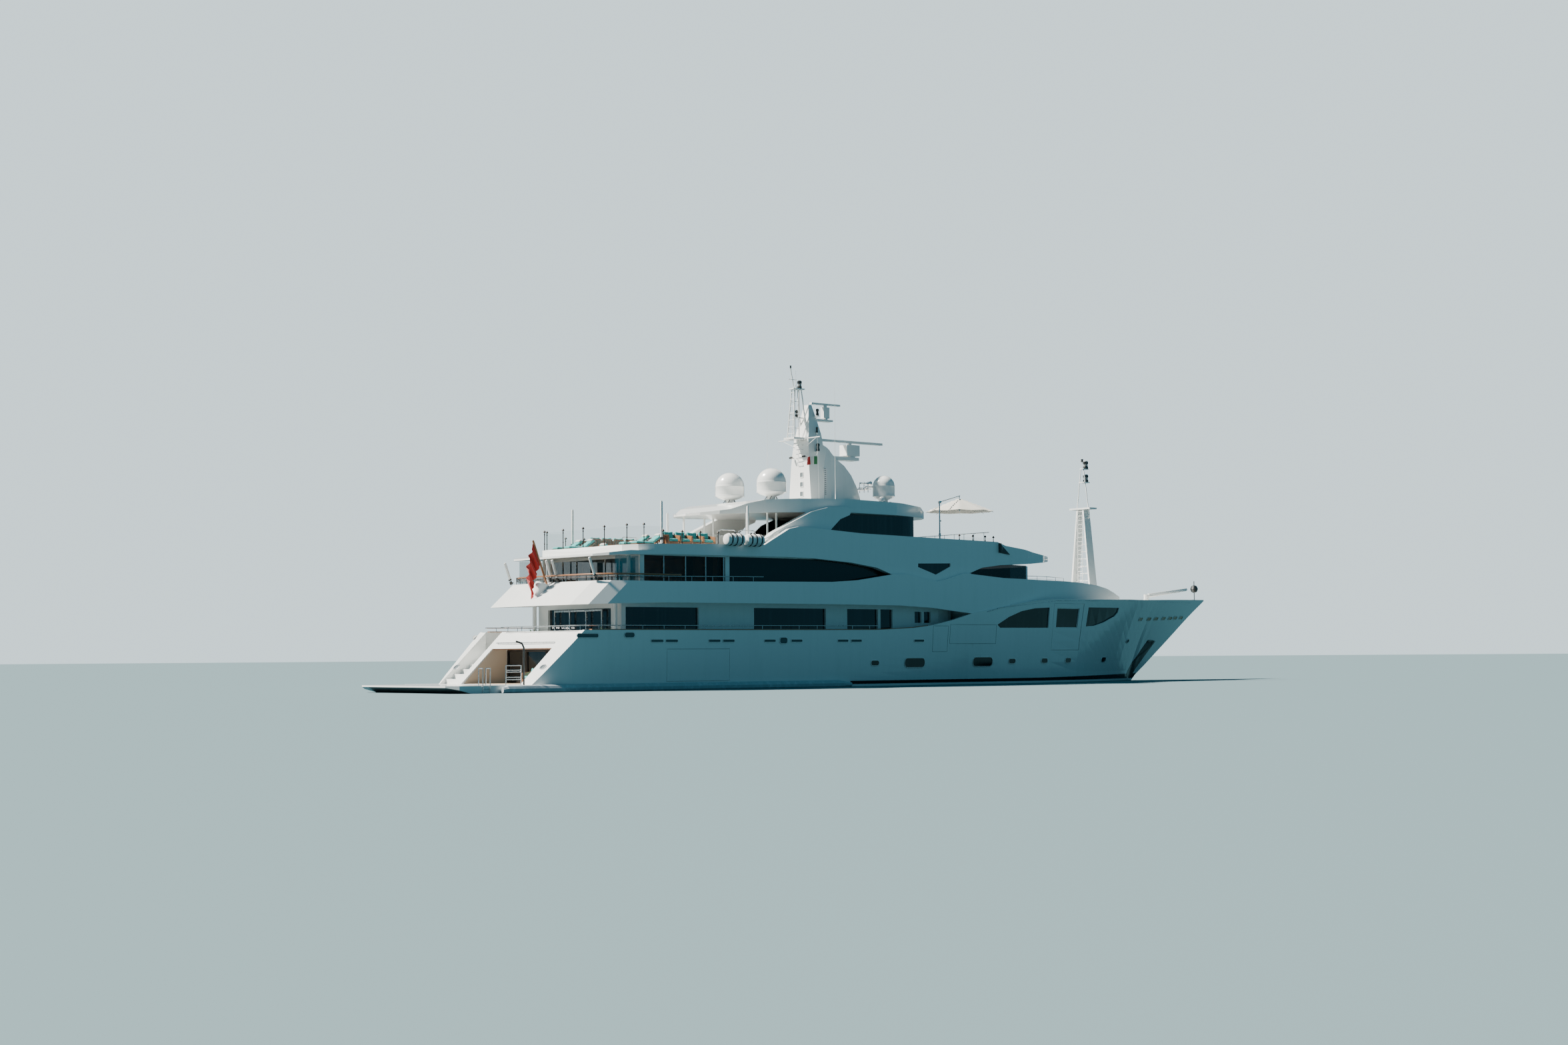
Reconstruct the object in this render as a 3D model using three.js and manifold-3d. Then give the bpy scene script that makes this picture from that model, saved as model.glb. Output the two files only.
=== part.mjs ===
// A three-deck motor yacht afloat, as a 1:2 scale model.
// Every length below is a metre of the full-size yacht; the exported group is scaled to millimetres.
// +X points to the bow, +Y to port, +Z up. Z = 0 is the waterline, X = 0 lies 30 m aft of the bow tip.

import * as THREE from "three";
import { mergeVertices } from "three/addons/utils/BufferGeometryUtils.js";
import Module from "manifold-3d";

const wasm = await Module();
wasm.setup();

// Driving dimensions
const MODEL_SCALE = 0.5;
const MM_PER_METRE = 1000 * MODEL_SCALE;
const GAP = 0.0008; // between touching pieces
const RUN = 0.02; // between moving pieces
const HALF_BEAM = 5.4;
const BOW_X = 30;
const MAIN_DECK = 2.35;
const UPPER_DECK = 5.12;
const UPPER_SLAB = 4.98; // underside of the upper deck
const SUN_DECK = 7.9;
const SUN_SLAB = 7.74; // underside of the sun deck
const FORE_DECK = 4.55;
const BULWARK = 0.22;
const HOUSE_Y = 4.2;
const HOUSE_WALL = 0.14;
const GLASS = 0.08;
const PLATFORM_Z = 0.42;
const STERN_FOOT = [-31.77, 0.41]; // X and Z of the sloped stern's foot
const STERN_HEAD = [-29.16, 2.92];
const SLOPE = (STERN_HEAD[0] - STERN_FOOT[0]) / (STERN_HEAD[1] - STERN_FOOT[1]);
const ROOM = { y0: -3.7, y1: 2.45, z0: 0.42, z1: 2.4, depth: 3.1 }; // beach club
const STAIRS = { y0: 3.0, y1: 4.75, steps: 7 };

// Colours
const WHITE = [0xf2f0ea, 0.35, 0.1];
const DARK_GLASS = [0x0c1013, 0.08, 0.2];
const STEEL = [0xb9bcbf, 0.3, 0.9];
const BRONZE = [0xa8804a, 0.35, 0.9];
const GREY = [0x8d9499, 0.6, 0.0];
const BLACK = [0x17191b, 0.5, 0.1];
const RED = [0xc0202c, 0.8, 0.0];
const TEAL = [0x3fb5b5, 0.85, 0.0];
const CREAM = [0xe9e2d2, 0.85, 0.0];

const yacht = new THREE.Group();
yacht.scale.setScalar(MM_PER_METRE);

// Solids from three.js geometry, and back
function toSolid(geometry) {
  const plain = geometry.clone();
  plain.deleteAttribute("normal");
  plain.deleteAttribute("uv");
  const merged = mergeVertices(plain, 1e-6);
  return new wasm.Manifold(
    new wasm.Mesh({
      numProp: 3,
      vertProperties: new Float32Array(merged.attributes.position.array),
      triVerts: new Uint32Array(merged.index.array),
    }),
  );
}

function toGeometry(solid) {
  const mesh = solid.getMesh();
  const position = new Float32Array(mesh.numVert * 3);
  for (let i = 0; i < mesh.numVert; i++)
    position.set(mesh.vertProperties.subarray(i * mesh.numProp, i * mesh.numProp + 3), i * 3);
  const geometry = new THREE.BufferGeometry();
  geometry.setAttribute("position", new THREE.BufferAttribute(position, 3));
  geometry.setIndex(new THREE.BufferAttribute(new Uint32Array(mesh.triVerts), 1));
  geometry.computeVertexNormals();
  return geometry;
}

function node(name, solid, [color, roughness, metalness]) {
  const material = new THREE.MeshStandardMaterial({ color, roughness, metalness });
  const mesh = new THREE.Mesh(toGeometry(solid), material);
  mesh.name = name;
  yacht.add(mesh);
}

const join = (...solids) => solids.flat().reduce((a, b) => a.add(b));
const cut = (solid, ...tools) => tools.flat().reduce((a, b) => a.subtract(b), solid);
const PORT_STARBOARD = [
  ["starboard", -1],
  ["port", 1],
];

function outline(points) {
  const shape = new THREE.Shape();
  points.forEach(([a, b], i) => (i ? shape.lineTo(a, b) : shape.moveTo(a, b)));
  shape.closePath();
  return shape;
}

// A side outline of [x, z] points, from y0 to y1
function sideways(points, y0, y1) {
  const shape = points.isShape ? points : outline(points);
  const depth = Math.abs(y1 - y0);
  const geometry = new THREE.ExtrudeGeometry(shape, { depth, bevelEnabled: false, curveSegments: 6 });
  geometry.rotateX(Math.PI / 2);
  geometry.translate(0, Math.max(y0, y1), 0);
  return toSolid(geometry);
}

// A plan outline of [x, y] points, from z0 to z1
function upright(points, z0, z1) {
  const shape = points.isShape ? points : outline(points);
  const geometry = new THREE.ExtrudeGeometry(shape, {
    depth: z1 - z0,
    bevelEnabled: false,
    curveSegments: 6,
  });
  geometry.translate(0, 0, z0);
  return toSolid(geometry);
}

function block(x0, x1, y0, y1, z0, z1) {
  const geometry = new THREE.BoxGeometry(x1 - x0, Math.abs(y1 - y0), z1 - z0);
  geometry.translate((x0 + x1) / 2, (y0 + y1) / 2, (z0 + z1) / 2);
  return toSolid(geometry);
}

// A round bar between two points
function bar(from, to, radius, sides = 6, endRadius = radius) {
  const a = new THREE.Vector3(...from);
  const b = new THREE.Vector3(...to);
  const geometry = new THREE.CylinderGeometry(endRadius, radius, a.distanceTo(b), sides);
  const along = new THREE.Vector3().subVectors(b, a).normalize();
  geometry.applyQuaternion(new THREE.Quaternion().setFromUnitVectors(new THREE.Vector3(0, 1, 0), along));
  geometry.translate(...a.add(b).multiplyScalar(0.5).toArray());
  return toSolid(geometry);
}

// A solid of revolution about a vertical axis, from [radius, z] points that start and end on the axis
function turned(points, x, y, sides = 16) {
  const profile = points.map(([r, z]) => new THREE.Vector2(r, z));
  const geometry = new THREE.LatheGeometry(profile, sides);
  geometry.rotateX(Math.PI / 2);
  geometry.translate(x, y, 0);
  return toSolid(geometry);
}

// A body lofted through rings of equally many points, each ring flat and convex about its own middle
function loft(rings) {
  const count = rings[0].length;
  const position = rings.flat(2);
  const index = [];
  for (let s = 0; s < rings.length - 1; s++)
    for (let i = 0; i < count; i++) {
      const a = s * count + i;
      const b = s * count + ((i + 1) % count);
      if (i >= count / 2) index.push(a, b, b + count, a, b + count, a + count);
      else index.push(a, b, a + count, b, b + count, a + count);
    }
  const last = (rings.length - 1) * count;
  for (let i = 0; i < count / 2 - 1; i++) {
    const [p, q, r, s] = [i, i + 1, count - 2 - i, count - 1 - i];
    index.push(p, s, r, p, r, q);
    index.push(last + p, last + q, last + r, last + p, last + r, last + s);
  }
  const geometry = new THREE.BufferGeometry();
  geometry.setAttribute("position", new THREE.BufferAttribute(new Float32Array(position), 3));
  geometry.setIndex(index);
  const solid = toSolid(geometry);
  if (solid.volume() > 0) return solid;
  for (let i = 0; i < index.length; i += 3) [index[i + 1], index[i + 2]] = [index[i + 2], index[i + 1]];
  geometry.setIndex(index);
  return toSolid(geometry);
}

const steps = (count) => Array.from({ length: count + 1 }, (_, i) => i / count);

// Hull form: x, bottom z, half-beam at the waterline, half-beam at the sheer, sheer z, bilge, flare
const HULL_LINES = [
  [-32.4, -0.4, 4.7, 4.95, 3.38, 0.45, 1],
  [-31.2, -0.55, 4.95, 5.2, 3.38, 0.45, 1],
  [-29.4, -0.85, 5.15, 5.38, 3.38, 0.45, 1],
  [-25, -1.6, 5.25, HALF_BEAM, 3.39, 0.48, 1],
  [-19, -2.6, 5.3, HALF_BEAM, 3.4, 0.52, 1],
  [-12, -3.4, 5.3, HALF_BEAM, 3.42, 0.55, 1],
  [-7, -3.5, 5.25, HALF_BEAM, 3.44, 0.6, 1],
  [-4.13, -3.5, 5.15, HALF_BEAM, 3.57, 0.62, 1],
  [-2.48, -3.5, 5.08, HALF_BEAM, 3.74, 0.64, 1],
  [-0.75, -3.5, 4.98, HALF_BEAM, 4.08, 0.66, 1],
  [0.9, -3.5, 4.85, 5.38, 4.49, 0.7, 1],
  [3.8, -3.5, 4.92, 5.3, 4.93, 0.76, 1.05],
  [6.9, -3.5, 4.7, 5.18, 5.35, 0.84, 1.1],
  [8.8, -3.48, 4.5, 5.08, 5.46, 0.9, 1.15],
  [12, -3.4, 3.85, 4.82, 5.5, 1.0, 1.2],
  [15, -3.25, 2.9, 4.42, 5.54, 1.15, 1.3],
  [18, -2.9, 1.75, 3.85, 5.59, 1.3, 1.35],
  [20.5, -2.0, 0.65, 3.2, 5.63, 1.4, 1.35],
  [21.9, 0.02, 0, 2.78, 5.66, 1, 1.3],
  [23.3, 1.06, 0, 2.36, 5.69, 1, 1.2],
  [25.9, 2.88, 0, 1.55, 5.74, 1, 1.1],
  [28.2, 4.52, 0, 0.75, 5.78, 1, 1],
  [BOW_X, 5.7, 0, 0.1, 5.81, 1, 1],
];
const KEEL_HALF = 0.07;
// Stations between the given ones, on a smooth curve through them, except where the side doors need a flat side
const FAIRED = [
  [0.9, 8.8, 2],
  [12, BOW_X, 3],
];
const HULL_STATIONS = HULL_LINES.flatMap((row, i) => {
  const faired = FAIRED.find(([x0, x1]) => row[0] >= x0 && row[0] < x1);
  if (!faired) return [row];
  const [before, next] = [HULL_LINES[i - 1], HULL_LINES[i + 1]];
  const after = HULL_LINES[Math.min(i + 2, HULL_LINES.length - 1)];
  return Array.from({ length: faired[2] }, (_, k) => {
    const t = k / faired[2];
    return row.map((value, c) => {
      const leave = (next[c] - before[c]) / 2;
      const arrive = (after[c] - value) / 2;
      const rise = next[c] - value;
      return value + leave * t + (3 * rise - 2 * leave - arrive) * t ** 2 + (leave + arrive - 2 * rise) * t ** 3;
    });
  });
});

function hullHalf([x, bottom, water, deck, sheer, bilge, flare], grow) {
  const split = Math.min(0.35, 0.03 + 0.2 * bottom); // share of a raised station that its low points cover
  const low = steps(6).map((t) => {
    const a = (t * Math.PI) / 2;
    if (bottom > 0) {
      const u = split * t;
      return [KEEL_HALF + (deck - KEEL_HALF) * u ** flare, bottom + (sheer - bottom) * u];
    }
    return [KEEL_HALF + (water - KEEL_HALF) * Math.sin(a) ** bilge, bottom * Math.cos(a) ** bilge];
  });
  const high = steps(8).slice(1).map((t) => {
    const u = bottom > 0 ? split + (1 - split) * t : t;
    return bottom > 0
      ? [KEEL_HALF + (deck - KEEL_HALF) * u ** flare, bottom + (sheer - bottom) * u]
      : [water + (deck - water) * u ** flare, sheer * u];
  });
  return [...low, ...high].map(([y, z]) => [x, y + grow, z]);
}

function hullForm(grow = 0) {
  const rings = HULL_STATIONS.map((station) => {
    const half = hullHalf(station, grow);
    return [...half, ...half.map(([x, y, z]) => [x, -y, z]).reverse()];
  });
  return loft(rings);
}

// Half-beam of the hull at the sheer, and the sheer's height
function alongHull(x, column) {
  const next = HULL_STATIONS.findIndex((station) => station[0] >= x);
  const [a, b] = [HULL_STATIONS[Math.max(next - 1, 0)], HULL_STATIONS[Math.max(next, 1)]];
  return a[column] + ((b[column] - a[column]) * (x - a[0])) / (b[0] - a[0]);
}
const deckHalf = (x) => alongHull(x, 3);

// A plan outline that follows the hull's deck edge, inset, from x0 to x1
function deckPlan(x0, x1, inset, count = 8) {
  const edge = steps(count).map((t) => {
    const x = x0 + (x1 - x0) * t;
    return [x, deckHalf(x) - inset];
  });
  return [...edge.map(([x, y]) => [x, -y]), ...edge.reverse()];
}

const slopeX = (z) => STERN_FOOT[0] + SLOPE * (z - STERN_FOOT[1]);
// Everything aft of the sloped stern plane, moved by a distance along X
const aftOfSlope = (shift, y0, y1, z0 = STERN_FOOT[1], z1 = 6) =>
  sideways(
    [
      [-40, z0],
      [slopeX(z0) + shift, z0],
      [slopeX(z1) + shift, z1],
      [-40, z1],
    ],
    y0,
    y1,
  );

// Outlines in the hull's side: x0, x1, z0, z1, and the plan line of the recess behind
const SHELL_DOOR = { x0: -23.05, x1: -18.6, z0: 0.5, z1: 2.3, inner: 5.12 };
const BALCONY = { x0: 8.85, x1: 12.0, z0: 2.17, z1: 5.22 };
const PANEL = 0.16; // thickness of a door in the hull's side

// The side skin between two plan lines, as deep as a hull door
function sideSkin(x0, x1, z0, z1, side, depth, grow = 0) {
  const form = hullForm(grow);
  const inner = hullHalfAt(x0, z0, z1, depth, side, x1);
  return form.intersect(block(x0, x1, 0, side * 7, z0, z1)).subtract(inner);
}

function hullYAt(x, z) {
  const next = Math.max(
    HULL_STATIONS.findIndex((station) => station[0] >= x),
    1,
  );
  const [a, b] = [HULL_STATIONS[next - 1], HULL_STATIONS[next]];
  const across = ([, bottom, water, deck, sheer, , flare]) => {
    if (bottom <= 0) return water + (deck - water) * (z / sheer) ** flare;
    return KEEL_HALF + (deck - KEEL_HALF) * Math.max((z - bottom) / (sheer - bottom), 0) ** flare;
  };
  return across(a) + ((across(b) - across(a)) * (x - a[0])) / (b[0] - a[0]);
}

// A block that fills the hull's inside up to a depth under its skin
function hullHalfAt(x0, z0, z1, depth, side, x1) {
  const ring = (x) => {
    const low = hullYAt(x, Math.max(z0, 0.05)) - depth;
    const high = hullYAt(x, z1) - depth;
    return [
      [x, 0, z0 - 0.5],
      [x, side * low, z0 - 0.5],
      [x, side * low, z0],
      [x, side * high, z1],
      [x, side * high, z1 + 0.5],
      [x, 0, z1 + 0.5],
    ];
  };
  const between = HULL_STATIONS.map(([x]) => x).filter((x) => x > x0 - 0.4 && x < x1 + 0.4);
  return loft([x0 - 0.5, ...between, x1 + 0.5].map(ring));
}

// The foredeck's well inside its bulwarks, which follow the flare of the bow
const WELL_ENDS = [3.9, 27.2];
const WELL_STATIONS = [
  WELL_ENDS[0],
  ...HULL_STATIONS.map(([x]) => x).filter((x) => x > WELL_ENDS[0] + 0.3 && x < WELL_ENDS[1] - 0.2),
  WELL_ENDS[1],
];
const WELL_LEVELS = [FORE_DECK, 5.1, 6.3];
function foreWell(grow = 0) {
  const rings = WELL_STATIONS.map((x, i) => {
    const end = i === 0 ? -grow : i === WELL_STATIONS.length - 1 ? grow : 0;
    const half = WELL_LEVELS.map((z) => [x + end, Math.max(hullYAt(x, z) - BULWARK + grow, 0.03), z]);
    half[0][2] -= grow;
    return [...half, ...half.map(([a, y, z]) => [a, -y, z]).reverse()];
  });
  return loft(rings);
}

// Hinge line of a door: on the skin, along its top or bottom edge
const hingeLine = ({ x0, x1 }, z, side) => [x0, x1].map((x) => [x, side * hullYAt(x, z), z]);
const PIN_R = 0.03;

function hingedDoor(door, hingeZ, side, window) {
  const panel = sideSkin(door.x0, door.x1, door.z0, door.z1, side, PANEL);
  const [a, b] = hingeLine(door, hingeZ, side).map((point) => new THREE.Vector3(...point));
  const along = new THREE.Vector3().subVectors(b, a).normalize();
  const inwards = new THREE.Vector3(0, -side * PIN_R, hingeZ === door.z0 ? PIN_R : -PIN_R);
  const reach = RUN - GAP - PIN_R * Math.abs(along.y);
  const pin = bar(
    a.clone().addScaledVector(along, -reach).add(inwards).toArray(),
    b.clone().addScaledVector(along, reach).add(inwards).toArray(),
    PIN_R,
    8,
  );
  const whole = panel.add(pin);
  if (!window) return whole;
  const [x0, x1, z0, z1] = window;
  const recess = block(x0, x1, side * 2, side * 7, z0, z1);
  return whole.subtract(recess.subtract(hullHalfAt(x0, z0, z1, WINDOW_DEPTH, side, x1)));
}

// Forward hull windows: side outlines of [x, z] points, glazed 0.1 m under the skin
const EYE_WINDOW = [
  [3.35, 3.8],
  [4.4, 4.3],
  [5.6, 4.68],
  [6.9, 4.88],
  [8.4, 4.95],
  [8.4, 3.62],
  [3.6, 3.6],
];
const FORWARD_WINDOW = [
  [12.6, 3.74],
  [12.6, 5.0],
  [16.4, 5.02],
  [16.4, 4.7],
  [16.1, 4.45],
  [14.8, 4.02],
  [13.6, 3.78],
];
const WINDOW_DEPTH = 0.08;
const BALCONY_WINDOW = [9.2, 11.6, 3.63, 4.92];
const BALCONY_JAMB = 0.06; // the forward jamb lets the slanted door swing out
const BALCONY_ROOM = 0.08; // behind the door, for its foot as it folds down
const PANE = 0.06;
const PANE_FIT = 0.997;

function hullPane(points, side, depth, thickness) {
  const xs = points.map(([x]) => x);
  const zs = points.map(([, z]) => z);
  const middle = [(Math.min(...xs) + Math.max(...xs)) / 2, (Math.min(...zs) + Math.max(...zs)) / 2];
  const inside = points.map(([x, z]) => [
    middle[0] + (x - middle[0]) * PANE_FIT,
    middle[1] + (z - middle[1]) * PANE_FIT,
  ]);
  const [x0, x1, z0, z1] = [Math.min(...xs), Math.max(...xs), Math.min(...zs), Math.max(...zs)];
  const outer = hullHalfAt(x0, z0, z1, depth, side, x1);
  const inner = hullHalfAt(x0, z0, z1, depth + thickness, side, x1);
  return sideways(inside, 0, side * 7)
    .intersect(outer)
    .subtract(inner);
}

function hull() {
  const cuts = [aftOfSlope(0, -7, 7), block(-40, STERN_FOOT[0], -7, 7, -5, 1)];
  // Main-deck well inside the bulwarks, and the foredeck well
  cuts.push(upright(deckPlan(-28.7, 1.2, BULWARK, 10), MAIN_DECK, 9));
  cuts.push(foreWell());
  // Beach-club room and the stairs beside it
  const back = slopeX(ROOM.z0) + ROOM.depth + 1.2;
  cuts.push(block(-40, back, ROOM.y0, ROOM.y1, ROOM.z0, ROOM.z1));
  const run = (slopeX(MAIN_DECK) - slopeX(PLATFORM_Z) + 1.6) / STAIRS.steps;
  const rise = (MAIN_DECK - PLATFORM_Z) / STAIRS.steps;
  const flight = [[-40, 6]];
  flight.push([-40, PLATFORM_Z]);
  for (let i = 0; i < STAIRS.steps; i++) {
    const x = slopeX(PLATFORM_Z) + 0.4 + run * i;
    flight.push([x, PLATFORM_Z + rise * i]);
    flight.push([x, PLATFORM_Z + rise * (i + 1)]);
  }
  flight.push([-28.2, MAIN_DECK]);
  flight.push([-28.2, 6]);
  cuts.push(sideways(flight, STAIRS.y0, STAIRS.y1));
  for (const side of [-1, 1]) {
    // Door openings, a little larger than the doors in them
    for (const [door, jamb, behind] of [
      [SHELL_DOOR, RUN, RUN],
      [BALCONY, BALCONY_JAMB, BALCONY_ROOM],
    ]) {
      const { x0, x1, z0, z1 } = door;
      const hole = block(x0 - RUN, x1 + jamb, side * 2, side * 7, z0 - RUN, z1 + RUN);
      cuts.push(hole.subtract(hullHalfAt(x0, z0, z1, PANEL + behind, side, x1)));
    }
    for (const points of [EYE_WINDOW, FORWARD_WINDOW]) {
      const zs = points.map(([, z]) => z);
      const xs = points.map(([x]) => x);
      const [x0, x1] = [Math.min(...xs), Math.max(...xs)];
      const behind = hullHalfAt(x0, Math.min(...zs), Math.max(...zs), WINDOW_DEPTH + PANE + GAP, side, x1);
      cuts.push(sideways(points, side * 1.5, side * 7).subtract(behind));
    }
    // Anchor pocket beside the stem
    cuts.push(
      sideways(
        [
          [22.75, 2.87],
          [23.9, 2.8],
          [22.3, 1.3],
          [21.7, 1.5],
        ],
        side * (hullYAtBow(23) - 0.12),
        side * 3,
      ),
    );
  }
  const bosses = [-1, 1].map((side) =>
    bar([RUDDER.x, side * SHAFT.y, RUDDER.boss], [RUDDER.x, side * SHAFT.y, -0.5], 0.2, 12, 0.3),
  );
  return join(cut(hullForm(), ...cuts), bosses);
}

// Half-beam of the raked bow about half way up
function hullYAtBow(x) {
  return 0.1 + (26 - x) * 0.2;
}

for (const [name, side] of PORT_STARBOARD) {
  node("shell_door_" + name, hingedDoor(SHELL_DOOR, SHELL_DOOR.z1, side), WHITE);
  node("balcony_door_" + name, hingedDoor(BALCONY, BALCONY.z0, side, BALCONY_WINDOW), WHITE);
}
for (const [name, side] of PORT_STARBOARD) {
  node("hull_eye_window_" + name, hullPane(EYE_WINDOW, side, WINDOW_DEPTH, PANE), DARK_GLASS);
  node("hull_bow_window_" + name, hullPane(FORWARD_WINDOW, side, WINDOW_DEPTH, PANE), DARK_GLASS);
}

// Rub tubes along the waterline of both quarters
const TUBE = { x0: -33.94, x1: -9.3, y: 5.36, z: 0.15, r: 0.27 };
for (const [name, side] of PORT_STARBOARD) {
  const tube = join(
    bar([TUBE.x0 + TUBE.r, side * TUBE.y, TUBE.z], [TUBE.x1 - 1, side * TUBE.y, TUBE.z], TUBE.r, 10),
    bar([TUBE.x1 - 1, side * TUBE.y, TUBE.z], [TUBE.x1, side * TUBE.y, TUBE.z], TUBE.r, 10, 0.12),
    bar([TUBE.x0, side * TUBE.y, TUBE.z], [TUBE.x0 + TUBE.r, side * TUBE.y, TUBE.z], 0.15, 10, TUBE.r),
  );
  node("rub_tube_" + name, tube.subtract(hullForm(GAP)), GREY);
}

// Swim platform with a raked underside at its aft end
const PLATFORM = { x0: -36.9, x1: STERN_FOOT[0] - GAP, y: 5.08, bottom: -0.12 };
const platformPlan = [
  [PLATFORM.x1, -4.8],
  [PLATFORM.x1, 4.8],
  [-32.6, PLATFORM.y],
  [PLATFORM.x0 + 0.5, PLATFORM.y],
  [PLATFORM.x0, PLATFORM.y - 0.6],
  [PLATFORM.x0, 0.6 - PLATFORM.y],
  [PLATFORM.x0 + 0.5, -PLATFORM.y],
  [-32.6, -PLATFORM.y],
];
node(
  "swim_platform",
  upright(platformPlan, PLATFORM.bottom, PLATFORM_Z - 0.01).intersect(
    sideways(
      [
        [PLATFORM.x0, PLATFORM_Z],
        [PLATFORM.x0, PLATFORM_Z - 0.1],
        [PLATFORM.x0 + 1.7, PLATFORM.bottom - 0.01],
        [PLATFORM.x1, PLATFORM.bottom - 0.01],
        [PLATFORM.x1, PLATFORM_Z],
      ],
      -7,
      7,
    ),
  ),
  WHITE,
);

// Beach-club sliding doors: a glass wall across the room
const roomBack = slopeX(ROOM.z0) + ROOM.depth;
node(
  "beach_club_doors",
  block(roomBack, roomBack + 0.12, ROOM.y0 + GAP, ROOM.y1 - GAP, ROOM.z0 + GAP, ROOM.z1 - GAP),
  DARK_GLASS,
);

// Swim ladder on the platform's starboard edge, stern rail, and the stern pole
const LADDER = { x0: -35.0, x1: -34.55, y: -PLATFORM.y - 0.05 };
const ladderSides = [LADDER.x0, LADDER.x1].map((x) =>
  join(
    bar([x, LADDER.y, -0.3], [x, LADDER.y, 1.35], 0.025),
    bar([x, LADDER.y, 1.33], [x, LADDER.y + 0.45, 1.33], 0.025),
    bar([x, LADDER.y + 0.43, PLATFORM_Z - 0.01 + GAP], [x, LADDER.y + 0.43, 1.35], 0.025),
  ),
);
const rungs = [-0.2, 0.02, 0.24].map((z) => bar([LADDER.x0, LADDER.y, z], [LADDER.x1, LADDER.y, z], 0.02));
node("swim_ladder", join(ladderSides, rungs), STEEL);

const platformTop = PLATFORM_Z - 0.01 + GAP;
const STERN_RAIL = { x0: -33.4, x1: -32.45, y: -4.85 };
node(
  "stern_rail",
  join(
    [STERN_RAIL.x0, STERN_RAIL.x1].map((x) =>
      bar([x, STERN_RAIL.y, platformTop], [x, STERN_RAIL.y, 1.48], 0.025),
    ),
    [0.72, 0.84, 1.12, 1.22, 1.47].map((z) =>
      bar([STERN_RAIL.x0, STERN_RAIL.y, z], [STERN_RAIL.x1, STERN_RAIL.y, z], 0.02),
    ),
  ),
  STEEL,
);
const POLE = { x: -32.2, y: -4.75 };
node(
  "stern_pole",
  join(
    bar([POLE.x, POLE.y, platformTop], [POLE.x, POLE.y, 2.45], 0.05, 8),
    bar([POLE.x, POLE.y, 2.42], [POLE.x - 0.14, POLE.y, 2.66], 0.05, 8),
    bar([POLE.x - 0.13, POLE.y, 2.65], [POLE.x - 0.5, POLE.y, 2.76], 0.05, 8),
  ),
  BLACK,
);

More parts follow.
